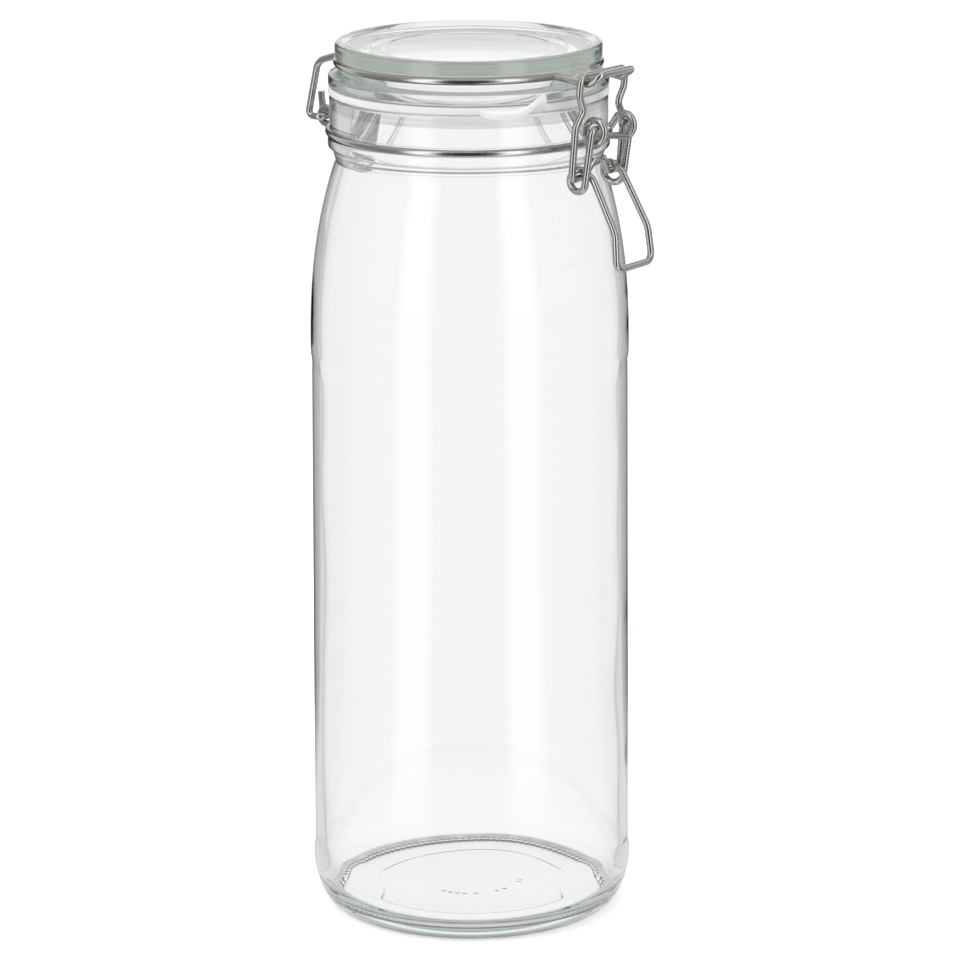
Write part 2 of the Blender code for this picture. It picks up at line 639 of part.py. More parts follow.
def build():
    clear_scene()
    glass = material("clear_glass", (0.93, 0.97, 0.95), 0.03, transmission=1.0)
    rubber = material("white_rubber", (0.90, 0.90, 0.89), 0.5)
    steel = material("stainless_wire", (0.60, 0.58, 0.56), 0.28, metallic=1.0)
    turned("jar_body", jar_outline(), False, glass)
    wire("neck_wire", neck_wire_route(), True, steel)
    lid = turned("lid_glass", lid_outline(), False, glass)
    gasket = make_gasket(rubber)
    lid_wire = wire("lid_wire", lid_wire_route(), False, steel)
    for piece in (lid, gasket, lid_wire):
        carried_at(piece, HINGE_AXIS)
    carried_at(wire("lever_wire", lever_wire_route(), False, steel), LEVER_AXIS)
    carried_at(wire("link_wire", link_wire_route(), False, steel), LINK_AXIS)


build()
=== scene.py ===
"""The looks of the clip-top glass jar: fine glass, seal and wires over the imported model."""

import json
import math

import bmesh
import bpy
from mathutils import Matrix, Quaternion, Vector

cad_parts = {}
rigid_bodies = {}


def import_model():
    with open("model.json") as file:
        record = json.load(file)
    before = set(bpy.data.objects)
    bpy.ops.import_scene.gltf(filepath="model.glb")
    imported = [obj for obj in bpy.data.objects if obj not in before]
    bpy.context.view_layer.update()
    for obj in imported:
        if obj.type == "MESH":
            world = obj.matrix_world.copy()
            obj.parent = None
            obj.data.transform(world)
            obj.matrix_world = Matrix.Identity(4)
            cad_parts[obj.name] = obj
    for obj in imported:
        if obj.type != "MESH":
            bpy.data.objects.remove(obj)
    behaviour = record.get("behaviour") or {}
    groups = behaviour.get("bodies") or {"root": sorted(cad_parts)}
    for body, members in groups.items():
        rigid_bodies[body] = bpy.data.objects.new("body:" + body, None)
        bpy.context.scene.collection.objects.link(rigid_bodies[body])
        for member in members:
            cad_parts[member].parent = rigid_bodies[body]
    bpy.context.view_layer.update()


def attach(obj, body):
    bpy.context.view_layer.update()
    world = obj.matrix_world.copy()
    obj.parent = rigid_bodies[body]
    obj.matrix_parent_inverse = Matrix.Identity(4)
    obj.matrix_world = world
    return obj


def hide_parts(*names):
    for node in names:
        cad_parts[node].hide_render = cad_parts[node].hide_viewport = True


CLEARANCE = 0.0003
WIRE_DIAMETER = 0.0023

# Glass jar
BEARING_OUTER_RADIUS = 0.0463
PUSH_UP = 0.0010
HEEL_HEIGHT = 0.0150
HEEL_POWER = 1.2
BODY_RADIUS = 0.0531
BODY_TOP_RADIUS = 0.0522
PANEL_DEPTH = 0.0004
PANEL_BOTTOM = 0.0195
PANEL_TOP = 0.1860
PANEL_STEP = 0.0022
SHOULDER_BOTTOM = 0.1900
SHOULDER_TOP = 0.2520
NECK_RADIUS = 0.0433
BEAD_RADIUS = 0.0458
BEAD_HEIGHT = 0.0039
BEAD_ROUND = 0.0012
GROOVE_RADIUS = 0.0440
COLLAR_RADIUS = 0.0452
RIM_HEIGHT = 0.2731
COLLAR_HEIGHT = 0.0104
RIM_ROUND = 0.0009
MOUTH_RADIUS = 0.0380
MOUTH_HEIGHT = 0.0130
WALL = 0.0032
BASE_THICKNESS = 0.0044
FLOOR_ROUND = 0.0080
SHOULDER_POWER = 2.4
CORNER_ROUND = 0.0003
KNURL_DEPTH = 0.0003
KNURL_ROWS = ((0.0459, 0.0451), (0.0443, 0.0434))
KNURL_EDGE = 0.0002
BASE_RING_RADIUS = 0.0318
BASE_RING_DEPTH = 0.00005
BASE_RING_WIDTH = 0.0004
DOT_RADIUS = 0.0165
DOT_SIZE = 0.0008
DOT_HEIGHT = 0.00022
DOT_DEGREES = (181, 190, 199, 208, 221, 247, 258, 292, 302)
DOT_TURNS = tuple(math.radians(degrees) for degrees in DOT_DEGREES)
DOT_PITCH = 0.0002
WALL_RIPPLE = 0.00022
RIPPLE_FLOOR_RISE = 1.1
RIPPLE_NECK_FADE = 4
# How the wall strays from round: (share, waves round it, waves up it, start), and the shares' sum
RIPPLES = ((1, 2, 0.9, 0.4), (0.7, 3, -1.7, 1.9), (0.5, 5, 2.6, 0), (0.4, 7, -3.9, 0.7))
RIPPLE_SUM = 2.6

# Gasket
GASKET_RADIUS = 0.0455
GASKET_THICKNESS = 0.0025
GASKET_ROUND = 0.0005
TAB_WIDTH = 0.0200
TAB_REACH = 0.0105
TAB_SQUARENESS = 4
TAB_CURL = 0.0135
TAB_CURL_START_SHARE = 0.3
TAB_AZIMUTH = math.radians(37)

# Glass lid
FLANGE_RADIUS = 0.0455
FLANGE_THICKNESS = 0.0036
FLANGE_ROUND = 0.0008
BOSS_RADIUS = 0.0362
BOSS_DEPTH = 0.0048
BOSS_ROUND = 0.0008
LID_HEIGHT = 0.0141
CROWN_RADIUS = 0.0433
CROWN_THICKNESS = 0.0052
CROWN_ROUND = 0.0014
CREST_INSET = 0.0022
DISH_DEPTH = 0.0014
DISH_SLOPE = 0.0030
DISH_STEP = 0.0003
DISH_STEP_RADII = (0.0315, 0.0260)
DISH_STEP_WIDTH = 0.0005
LID_GROOVE_RADIUS = 0.0412
LID_RECESS_RADIUS = 0.0318
LID_RECESS_DRAFT = 0.0010
LID_RECESS_ROUND = 0.0030
LID_PLATE = 0.0050

# Neck wire
EAR_SIDE = 0.0081
EAR_STANDOFF = 0.0098
EAR_RISE = 0.0059
EAR_RADIUS = 0.0036
EAR_BAR_BEND = 0.0018
NEAR_BAR_TURN = math.radians(-35)
FAR_BAR_TURN = math.radians(177)
CROSSING_SIDE = 0.0040
EYE_SIDE = 0.0060
EYE_STANDOFF = 0.0080
EYE_DROP = 0.0003
EYE_RADIUS = 0.0027
EYE_BAR_STANDOFF = 0.0036
WIRE_BEND = 0.0018

# Lever
PIN_TURN = math.radians(50)
PIN_REACH_PAST_EAR = 0.0028
ARM_SPACING = 0.0027
COIL_SETBACK = 0.0054
COIL_DROP = 0.0162
COIL_RADIUS = 0.0034
SHANK_STANDOUT = 0.0049
SHANK_RISE = 0.0004
SHANK_BEND = 0.0060
KNEE_STANDOUT = 0.0085
KNEE_DROP = 0.0160
KNEE_BEND = 0.0080
HANDLE_STANDOUT = 0.0096
HANDLE_DROP = 0.0271
HANDLE_FLARE = 0.0018
HANDLE_BEND = 0.0030

# Link
LINK_STRAIGHT = 0.0168
LINK_WAIST = 0.0220
LINK_WAIST_INSET = 0.0038
LINK_NECK = 0.0268
LINK_TOP_SPACING = 0.0032
LINK_BEND = 0.0028
TIP_CORNER_INSET = 0.0014
TIP_TOE_IN = 0.0043
TIP_LENGTH = 0.0052
TIP_LEAN = math.radians(78)

# Lid wire
NOSE_SIDE = 0.0092
NOSE_ROOT_FLARE = 0.0011
SADDLE_STANDOFF = 0.0106
SADDLE_DROP = 0.0017
LIP_STANDOUT = 0.0045
LIP_RISE = 0.0015
LIP_BEND = 0.0020
LEG_SPACING = 0.0030
LEG_TOP_STANDOFF = 0.0120
LEG_TOP_DROP = 0.0042
LEG_BEND = 0.0045
LEG_FOOT_STANDOUT = 0.0055
TAIL_INSET = 0.0028
TAIL_STANDOUT = 0.0038
TAIL_LEAN = 0.0007
TAIL_LENGTH = 0.0072

# How finely round shapes are made
TURNS = 480
RING_STEP = math.radians(2)
BEND_STEP = math.radians(9)
COIL_STEP = math.radians(8)
WIRE_SIDES = 20
CHAMFER_SHARE = 0.2
CHAMFER_DEPTH_SHARE = 0.16
ROUND_POINTS = 8
SHOULDER_POINTS = 28
HEEL_POINTS = 20
WALL_POINTS = 36
SHARP_ANGLE = math.radians(50)
EASE_SHARES = (0, 0.33, 0.67, 1)
SHOULDER_SPREAD = 1.3
FLOOR_ROWS = (0.15, 0.3, 0.5, 0.7)
FLOOR_ARC_POINTS = 16
RECESS_ARC_POINTS = 12
SEAL_ARC_POINTS = 3
SEAL_ROWS = (0, 0.2, 0.4, 0.6, 0.8)
SEAL_TAB_STEPS = 24
SEAL_RING_STEPS = 220
STEP_ROWS = (0, 0.25, 1)
KNURL_PITCH = 4
DOT_ROWS = 5
ROWS_OUTSIDE_DOTS = (0.85, 0.7)
ROWS_INSIDE_DOTS = (0.7, 0.4)
NEAREST_POINTS = CLEARANCE / 9

# Heights and radii that follow from the sizes above
WIRE_RADIUS = WIRE_DIAMETER / 2
WIRE_PITCH = WIRE_DIAMETER + CLEARANCE
GROOVE_WIDTH = WIRE_DIAMETER + 2 * CLEARANCE
GROOVE_TOP = RIM_HEIGHT - COLLAR_HEIGHT
NECK_RING_HEIGHT = GROOVE_TOP - GROOVE_WIDTH / 2
NECK_RING_RADIUS = GROOVE_RADIUS + WIRE_RADIUS + CLEARANCE
GASKET_BOTTOM = RIM_HEIGHT + CLEARANCE
GASKET_TOP = GASKET_BOTTOM + GASKET_THICKNESS
FLANGE_BOTTOM = GASKET_TOP + CLEARANCE
FLANGE_TOP = FLANGE_BOTTOM + FLANGE_THICKNESS
LID_TOP = FLANGE_BOTTOM + LID_HEIGHT
CROWN_BOTTOM = LID_TOP - CROWN_THICKNESS
LID_RING_HEIGHT = CROWN_BOTTOM - WIRE_RADIUS - CLEARANCE
LID_RING_RADIUS = LID_GROOVE_RADIUS + WIRE_RADIUS + CLEARANCE
EAR_HEIGHT = NECK_RING_HEIGHT + EAR_RISE
EAR_REACH = NECK_RING_RADIUS + EAR_STANDOFF
EYE_HEIGHT = NECK_RING_HEIGHT - EYE_DROP
EYE_REACH = NECK_RING_RADIUS + EYE_STANDOFF
EYE_BAR_REACH = NECK_RING_RADIUS + EYE_BAR_STANDOFF
PIN_SEAT = EAR_RADIUS - WIRE_PITCH
PIN_REACH = EAR_REACH + PIN_SEAT * math.cos(PIN_TURN)
PIN_HEIGHT = EAR_HEIGHT + PIN_SEAT * math.sin(PIN_TURN)
PIN_END_SIDE = EAR_SIDE - PIN_REACH_PAST_EAR
ARM_SIDE = EAR_SIDE + ARM_SPACING
COIL_PIN_LIFT = COIL_RADIUS - WIRE_PITCH
COIL_HEIGHT = EAR_HEIGHT - COIL_DROP
COIL_REACH = EAR_REACH - COIL_SETBACK
HANDLE_COIL_SIDE = ARM_SIDE - WIRE_PITCH
SHANK_REACH = COIL_REACH + SHANK_STANDOUT
SHANK_HEIGHT = COIL_HEIGHT + SHANK_RISE
KNEE_HEIGHT = COIL_HEIGHT - KNEE_DROP
KNEE_REACH = EAR_REACH + KNEE_STANDOUT
HANDLE_HEIGHT = COIL_HEIGHT - HANDLE_DROP
HANDLE_REACH = EAR_REACH + HANDLE_STANDOUT
HANDLE_SIDE = HANDLE_COIL_SIDE + HANDLE_FLARE
SADDLE_HEIGHT = LID_RING_HEIGHT - SADDLE_DROP
SADDLE_REACH = LID_RING_RADIUS + SADDLE_STANDOFF
LIP_HEIGHT = LID_RING_HEIGHT + LIP_RISE
LIP_REACH = SADDLE_REACH + LIP_STANDOUT
NOSE_RING_SIDE = NOSE_SIDE + NOSE_ROOT_FLARE
LEG_SIDE = EYE_SIDE + LEG_SPACING
LEG_TOP_REACH = LID_RING_RADIUS + LEG_TOP_STANDOFF
LEG_FOOT_REACH = EYE_REACH + LEG_FOOT_STANDOUT
TAIL_SIDE = EYE_SIDE - TAIL_INSET
TAIL_REACH = EYE_REACH + TAIL_STANDOUT
LINK_SIDE = ARM_SIDE + WIRE_PITCH
LINK_WAIST_SIDE = LINK_SIDE - LINK_WAIST_INSET
LINK_TOP_SIDE = NOSE_SIDE + LINK_TOP_SPACING
TIP_CORNER_SIDE = HANDLE_COIL_SIDE - TIP_CORNER_INSET
TIP_SIDE = TIP_CORNER_SIDE - TIP_TOE_IN
FRONT = -1
BACK = 1

# Looks of the glass, darker where thick, with painted shade at grazing edges, the foot, the collar
# top and the lid edge
GLASS_TONE = (0.99, 0.995, 0.992, 1)
GLASS_IOR = 1.5
GLASS_TINT = (0.62, 0.80, 0.70, 1)
GLASS_TINT_DENSITY = 4
GLASS_WAVE_SCALE = 22
GLASS_WAVE_DETAIL = 1.5
GLASS_WAVE_STRETCH = (1, 1, 0.45)
GLASS_WAVE_DEPTH = 0.0006
JAR_WAVE_STRENGTH = 0.25
LID_WAVE_STRENGTH = 0.2
# Painted shade where the eye grazes the glass
FACING_BLEND = 0.5
RIM_START = 0.80
LID_RIM_START = 0.87
GRAZING_PAINTED_SHADE = (0.012, 0.014, 0.013, 1)
RIM_END = 0.95
# Painted shade and tint on the lid's outer faces
EDGE_FADE = 0.0022
EDGE_SHARE = 0.35
LID_EDGE_PAINTED_SHADE = (0.72, 0.755, 0.695, 1)
# Painted shade on the edge the jar stands on, uneven like scuffs
HEEL_PAINTED_SHADE = (0.12, 0.125, 0.12, 1)
HEEL_BAND = (0.0012, 0.0026)
HEEL_FADE = 0.0012
UNDER_SHARE = 0.07
# Painted shade in grey streaks round the top of the collar
COLLAR_BAND = 0.0042
COLLAR_PAINTED_SHADE = (0.52, 0.525, 0.52, 1)
FROST = 0.16
EDGE_STREAKS = (0.1, 1.7)
EDGE_STREAK_STRETCH = (0.03, 0.03, 1)
COLLAR_FADE_SHARE = 0.1
COLLAR_STREAKS = (0.2, 1.6)
COLLAR_STREAK_STRETCH = (0.02, 0.02, 1)
STREAK_SCALE = 1500
STREAK_DETAIL = 2
SCUFFS = (0.45, 1.15)
SCUFF_SCALE = 180
SCUFF_DETAIL = 3

# Looks of the wire and the seal
STEEL_TONES = ((0.43, 0.415, 0.40, 1), (0.60, 0.585, 0.57, 1))
STEEL_ROUGHNESS = (0.15, 0.28)
STEEL_PATCH_SCALE = 900
STEEL_PATCH_DETAIL = 3
STEEL_GRAIN_SCALE = 2500
STEEL_GRAIN_DETAIL = 2
STEEL_GRAIN_STRENGTH = 0.12
STEEL_GRAIN_DEPTH = 0.00005
RUBBER_TONES = ((0.91, 0.91, 0.90, 1), (0.98, 0.98, 0.975, 1))
RUBBER_ROUGHNESS = (0.34, 0.48)
RUBBER_CLOUD_SCALE = 120
RUBBER_CLOUD_DETAIL = 3
RUBBER_SKIN_SCALE = 1500
RUBBER_SKIN_DETAIL = 4
RUBBER_SKIN_STRENGTH = 0.15
RUBBER_SKIN_DEPTH = 0.0001
RUBBER_GLOW_WEIGHT = 0.35
RUBBER_GLOW_RADIUS = (1.0, 0.95, 0.9)
RUBBER_GLOW_SCALE = 0.0015

# Studio. It stands still in the room: its stops are (degrees from the photographed side, value)
WHITE = (1, 1, 1, 1)
BLACK = (0, 0, 0, 1)
PALE = (0.9, 0.9, 0.9, 1)
GLOSS_STOPS = (
    (0, 0.05), (22, 0.06), (30, 2.3), (44, 2.3), (52, 0.50), (96, 0.45), (104, 0.30),
    (118, 0.85), (144, 0.90), (149, 0.00), (163, 0.00), (169, 1.15), (191, 1.15), (197, 0.00),
    (211, 0.00), (216, 0.90), (242, 0.85), (256, 0.25), (266, 0.40), (296, 0.40), (306, 0.32),
    (313, 2.3), (327, 2.3), (336, 0.06), (360, 0.05),
)
# Painted light: the bands that reflections see on the floor
FLOOR_STOPS = (
    (0, 0.05), (22, 0.06), (30, 1.9), (44, 1.9), (54, 0.25), (96, 0.35), (104, 0.30),
    (118, 0.85), (134, 0.90), (140, 0.00), (162, 0.00), (168, 0.90), (192, 0.90), (198, 0.00),
    (220, 0.00), (226, 0.90), (242, 0.85), (256, 0.25), (266, 0.35), (304, 0.25),
    (313, 1.9), (327, 1.9), (336, 0.06), (360, 0.05),
)
WHOLE_TURNS = 2.0
CEILING_RISE = (0.35, 0.75)
CEILING_TONE = 0.70
OVERHEAD_RISE = (0.72, 0.93)
AMBIENT = 0.55
FLOOR_RADIUS = 3.0
FLOOR_DROP = CLEARANCE / 3
FLOOR_SIDES = 96
FLOOR_TONE = (0.86, 0.86, 0.86, 1)
FLOOR_GLOW = 0.52
NEAR_FLOOR = (0.10, 0.28)
# Gloss seen through glass is paler by this share
PALE_SHARE = 0.8
# A path that was reflected in the glass, and met fewer surfaces than this, sees a darker room
DIM = 0.12
DIM_SHARE = 0.40
DIM_PASSES = 5.0
LAMP_SIZE = 1.4
LAMP_AIM = Vector((0, 0, 0.15))
LAMPS = (("key", (-1.3, 0.6, 1.5), 14), ("fill", (0.5, -1.6, 1.2), 9), ("top", (0.2, 0.2, 1.8), 8))
BOUNCES = 24

# Camera, in the photograph's place
LENS = 168.0
CAMERA_DISTANCE = 1.432
CAMERA_HEIGHT = 0.5182
CAMERA_SHIFT = 0.0032
CAMERA_PITCH = math.radians(14.66)
CAMERA_ROLL = math.radians(0.2)
VIEW_ANGLE = math.radians(36)
SENSOR_WIDTH = 36


# ---- shapes


def quarter(centre, radius, start, end, points=ROUND_POINTS):
    """Points of an arc in a profile about (radius, height), between two angles in degrees."""
    made = []
    for i in range(points + 1):
        turn = math.radians(start + (end - start) * i / points)
        made.append((centre[0] + radius * math.cos(turn), centre[1] + radius * math.sin(turn)))
    return made


def eased(corners, radius=CORNER_ROUND):
    """The profile through corners, with every corner rounded a little."""
    made = [corners[0]]
    for before, corner, after in zip(corners, corners[1:], corners[2:]):
        start, middle, end = Vector(before), Vector(corner), Vector(after)
        back, onward = start - middle, end - middle
        reach = min(radius, back.length / 3, onward.length / 3)
        first, last = middle + back.normalized() * reach, middle + onward.normalized() * reach
        for share in EASE_SHARES:
            made.append(tuple(first.lerp(middle, share).lerp(middle.lerp(last, share), share)))
    made.append(corners[-1])
    return made


def turned(name, outline, shape=None):
    """A solid turned about Z from an outline between two points of it. shape may move a point."""
    bm = bmesh.new()
    rings = []
    for row, (radius, height) in enumerate(outline):
        if radius == 0:
            rings.append([bm.verts.new((0, 0, height))])
            continue
        ring = []
        for i in range(TURNS):
            turn = 2 * math.pi * i / TURNS
            r, z = shape(row, i, turn, radius, height) if shape else (radius, height)
            ring.append(bm.verts.new((r * math.cos(turn), r * math.sin(turn), z)))
        rings.append(ring)
    for upper, lower in zip(rings, rings[1:]):
        for i in range(TURNS):
            j = (i + 1) % TURNS
            corners = [upper[i % len(upper)], upper[j % len(upper)]]
            corners += [lower[j % len(lower)], lower[i % len(lower)]]
            bm.faces.new(dict.fromkeys(corners))
    return finished(name, bm)


def finished(name, bm):
    bmesh.ops.recalc_face_normals(bm, faces=bm.faces)
    mesh = bpy.data.meshes.new(name)
    bm.to_mesh(mesh)
    bm.free()
    mesh.shade_smooth()
    mesh.set_sharp_from_angle(angle=SHARP_ANGLE)
    obj = bpy.data.objects.new(name, mesh)
    bpy.context.collection.objects.link(obj)
    return obj


def shoulder_radius(height):
    share = (SHOULDER_TOP - height) / (SHOULDER_TOP - SHOULDER_BOTTOM)
    return NECK_RADIUS + (BODY_TOP_RADIUS - NECK_RADIUS) * (1 - (1 - share) ** SHOULDER_POWER)


def body_radius(height):
    share = (height - HEEL_HEIGHT) / (SHOULDER_BOTTOM - HEEL_HEIGHT)
    return BODY_RADIUS + (BODY_TOP_RADIUS - BODY_RADIUS) * share


def shoulder_heights():
    drop = SHOULDER_TOP - SHOULDER_BOTTOM
    shares = [(i / SHOULDER_POINTS) ** SHOULDER_SPREAD for i in range(SHOULDER_POINTS + 1)]
    return [SHOULDER_TOP - drop * share for share in shares]


def wall_heights(low, high):
    return [low + (high - low) * i / WALL_POINTS for i in range(WALL_POINTS + 1)]


def heel():
    made = []
    for i in range(HEEL_POINTS + 1):
        turn = math.pi / 2 * i / HEEL_POINTS
        out = (BODY_RADIUS - BEARING_OUTER_RADIUS) * math.cos(turn) ** HEEL_POWER
        made.append((BEARING_OUTER_RADIUS + out, HEEL_HEIGHT * (1 - math.sin(turn) ** HEEL_POWER)))
    return made


def inner_outline():
    """From the middle of the floor, up inside to the mouth."""
    inner_body = BODY_RADIUS - WALL
    corner = (inner_body - FLOOR_ROUND, BASE_THICKNESS + FLOOR_ROUND)
    made = [(0, BASE_THICKNESS)]
    made += [(inner_body * share, BASE_THICKNESS) for share in FLOOR_ROWS]
    made += quarter(corner, FLOOR_ROUND, 270, 360, FLOOR_ARC_POINTS)
    for height in wall_heights(corner[1], SHOULDER_BOTTOM)[1:-1]:
        made.append((body_radius(height) - WALL, height))
    for height in reversed(shoulder_heights()):
        made.append((shoulder_radius(height) - WALL, height))
    low, high = RIM_HEIGHT - MOUTH_HEIGHT, RIM_HEIGHT - RIM_ROUND
    mouth = eased([made[-1], (MOUTH_RADIUS, low), (MOUTH_RADIUS, high)], 8 * CORNER_ROUND)
    return made[:-1] + mouth[:-1]


def finish_outline():
    """Over the rim and down the collar, groove and bead to the neck."""
    made = quarter((MOUTH_RADIUS + RIM_ROUND, RIM_HEIGHT - RIM_ROUND), RIM_ROUND, 180, 90)
    made += quarter((COLLAR_RADIUS - RIM_ROUND, RIM_HEIGHT - RIM_ROUND), RIM_ROUND, 90, 0)
    bead_top = GROOVE_TOP - GROOVE_WIDTH
    bead_core = BEAD_RADIUS - BEAD_ROUND
    bead_bottom = bead_top - BEAD_HEIGHT
    groove = [made[-1], (COLLAR_RADIUS, GROOVE_TOP), (GROOVE_RADIUS, GROOVE_TOP)]
    groove += [(GROOVE_RADIUS, bead_top), (bead_core, bead_top)]
    made += eased(groove)[1:-1]
    made += quarter((bead_core, bead_top - BEAD_ROUND), BEAD_ROUND, 90, 0)
    made += quarter((bead_core, bead_bottom + BEAD_ROUND), BEAD_ROUND, 0, -90)
    return made


def outer_outline():
    """Down the neck, shoulder, panel and heel."""
    heights = shoulder_heights()
    neck = [(shoulder_radius(height), height) for height in heights]
    panel = [(body_radius(PANEL_TOP + PANEL_STEP), PANEL_TOP + PANEL_STEP)]
    for height in reversed(wall_heights(PANEL_BOTTOM, PANEL_TOP)):
        panel.append((body_radius(height) - PANEL_DEPTH, height))
    low = PANEL_BOTTOM - PANEL_STEP
    panel.append((body_radius(low), low))
    return neck + panel + heel()


def base_outline():
    """Under the base, inwards: two knurled rows, a step up, a fine ring and mould dots."""
    made = [(BEARING_OUTER_RADIUS - KNURL_EDGE / 2, 0)]
    for outer, inner in KNURL_ROWS:
        made += [(outer + KNURL_EDGE, KNURL_DEPTH), (outer, KNURL_DEPTH), (inner, KNURL_DEPTH)]
        made.append((inner - KNURL_EDGE, KNURL_DEPTH))
    step = made[-1][0] - KNURL_EDGE
    made += [(step - KNURL_EDGE * share, PUSH_UP) for share in STEP_ROWS]
    half = BASE_RING_WIDTH / 2
    groove = [(4 * half, 0), (2 * half, 0), (half, BASE_RING_DEPTH), (-half, BASE_RING_DEPTH)]
    groove += [(-2 * half, 0), (-4 * half, 0)]
    made += [(BASE_RING_RADIUS + out, PUSH_UP + depth) for out, depth in groove]
    dots = [DOT_RADIUS + DOT_PITCH * row for row in range(DOT_ROWS, -DOT_ROWS - 1, -1)]
    outside = [BASE_RING_RADIUS * share for share in ROWS_OUTSIDE_DOTS]
    inside = [DOT_RADIUS * share for share in ROWS_INSIDE_DOTS]
    made += [(radius, PUSH_UP) for radius in outside + dots + inside]
    made.append((0, PUSH_UP))
    return made


def ripple(turn, height):
    """How far pressed glass strays from round, as a share of its most."""
    up = height / SHOULDER_BOTTOM * 2 * math.pi
    waves = 0
    for share, around, rise, start in RIPPLES:
        waves += share * math.sin(around * turn + rise * up + start)
    return waves / RIPPLE_SUM


def jar_piece():
    inside = inner_outline()
    outside = finish_outline() + outer_outline()
    under = base_outline()
    first_under = len(inside) + len(outside)
    knurled = [first_under + 1 + 4 * i + step for i in range(len(KNURL_ROWS)) for step in (1, 2)]

    def shape(row, i, turn, radius, height):
        if row < len(inside) and height < SHOULDER_TOP:
            rise = min(1, radius / BODY_RADIUS * RIPPLE_FLOOR_RISE)
            fade = rise * min(1, (SHOULDER_TOP - height) / WALL / RIPPLE_NECK_FADE)
            return radius - WALL_RIPPLE * fade * (1 + ripple(turn, height)), height
        if row in knurled and i % KNURL_PITCH < KNURL_PITCH / 2:
            return radius, 0
        if row >= first_under and abs(radius - DOT_RADIUS) < 2 * DOT_SIZE:
            out = radius - DOT_RADIUS
            apart = min(math.hypot(out, DOT_RADIUS * (turn - dot)) for dot in DOT_TURNS)
            return radius, height - DOT_HEIGHT * max(0, 1 - (apart / DOT_SIZE) ** 2)
        return radius, height

    return turned("jar_glass", inside + outside + under, shape)


def lid_outline():
    """From the middle of the lid's top, down outside, and back under the lid to the axis."""
    crest = CROWN_RADIUS - CREST_INSET
    dish = LID_TOP - DISH_DEPTH
    middle = dish - DISH_STEP * len(DISH_STEP_RADII)
    top = [(0, middle)]
    for step, radius in enumerate(reversed(DISH_STEP_RADII)):
        top.append((radius, middle + DISH_STEP * step))
        top.append((radius + DISH_STEP_WIDTH, middle + DISH_STEP * (step + 1)))
    crown = quarter((CROWN_RADIUS - CROWN_ROUND, LID_TOP - CROWN_ROUND), CROWN_ROUND, 60, 0)
    top += [(crest - DISH_SLOPE, dish), (crest, LID_TOP), crown[0]]
    outline = eased(top, 2 * CORNER_ROUND)[:-1] + crown
    groove = [outline[-1], (CROWN_RADIUS, CROWN_BOTTOM + CLEARANCE)]
    groove += [(LID_GROOVE_RADIUS, CROWN_BOTTOM), (LID_GROOVE_RADIUS, CROWN_BOTTOM - GROOVE_WIDTH)]
    groove.append((FLANGE_RADIUS - FLANGE_ROUND, FLANGE_TOP))
    outline += eased(groove)[1:-1]
    flange = (FLANGE_RADIUS - FLANGE_ROUND, FLANGE_TOP - FLANGE_ROUND)
    outline += quarter(flange, FLANGE_ROUND, 90, 0)
    foot = (FLANGE_RADIUS - FLANGE_ROUND, FLANGE_BOTTOM + FLANGE_ROUND)
    outline += quarter(foot, FLANGE_ROUND, 0, -90)
    boss_bottom = FLANGE_BOTTOM - BOSS_DEPTH
    boss = [outline[-1], (BOSS_RADIUS, FLANGE_BOTTOM), (BOSS_RADIUS, boss_bottom + BOSS_ROUND)]
    outline += eased(boss)[1:-1]
    outline += quarter((BOSS_RADIUS - BOSS_ROUND, boss_bottom + BOSS_ROUND), BOSS_ROUND, 0, -90)
    ceiling = middle - LID_PLATE
    recess = (LID_RECESS_RADIUS - LID_RECESS_DRAFT - LID_RECESS_ROUND, ceiling - LID_RECESS_ROUND)
    corner = quarter(recess, LID_RECESS_ROUND, 0, 90, RECESS_ARC_POINTS)
    mouth = [outline[-1], (LID_RECESS_RADIUS, boss_bottom), corner[0]]
    outline += eased(mouth, 2 * CORNER_ROUND)[1:-1] + corner
    outline.append((0, ceiling))
    return outline


def gasket_piece():
    """A flat ring with rounded edges and a pull tab, whose half towards the clasp curls up."""
    bm = bmesh.new()
    inner = BOSS_RADIUS + CLEARANCE
    half_angle = TAB_WIDTH / 2 / GASKET_RADIUS
    steps = range(-SEAL_TAB_STEPS, SEAL_TAB_STEPS + 1)
    turns = [-TAB_AZIMUTH + half_angle * step / SEAL_TAB_STEPS for step in steps]
    rest = 2 * math.pi - 2 * half_angle
    turns += [turns[-1] + rest * i / SEAL_RING_STEPS for i in range(1, SEAL_RING_STEPS)]
    rings = []
    for turn in turns:
        across = (turn + TAB_AZIMUTH) / half_angle
        reach = TAB_REACH * max(0.0, 1 - abs(across) ** TAB_SQUARENESS) ** 0.5
        curl = max(0.0, min(1.0, (across + TAB_CURL_START_SHARE) / (1 + TAB_CURL_START_SHARE))) ** 2
        rise = TAB_CURL * curl * reach / TAB_REACH
        outer = GASKET_RADIUS + reach
        ring = []
        for r, z in gasket_section(inner, outer):
            share = max(0.0, r - GASKET_RADIUS) / TAB_REACH
            z += rise * share**2
            ring.append(bm.verts.new((r * math.sin(turn), -r * math.cos(turn), z)))
        rings.append(ring)
    for ring, following in zip(rings, rings[1:] + rings[:1]):
        for i in range(len(ring)):
            j = (i + 1) % len(ring)
            bm.faces.new((ring[i], ring[j], following[j], following[i]))
    return finished("gasket_seal", bm)


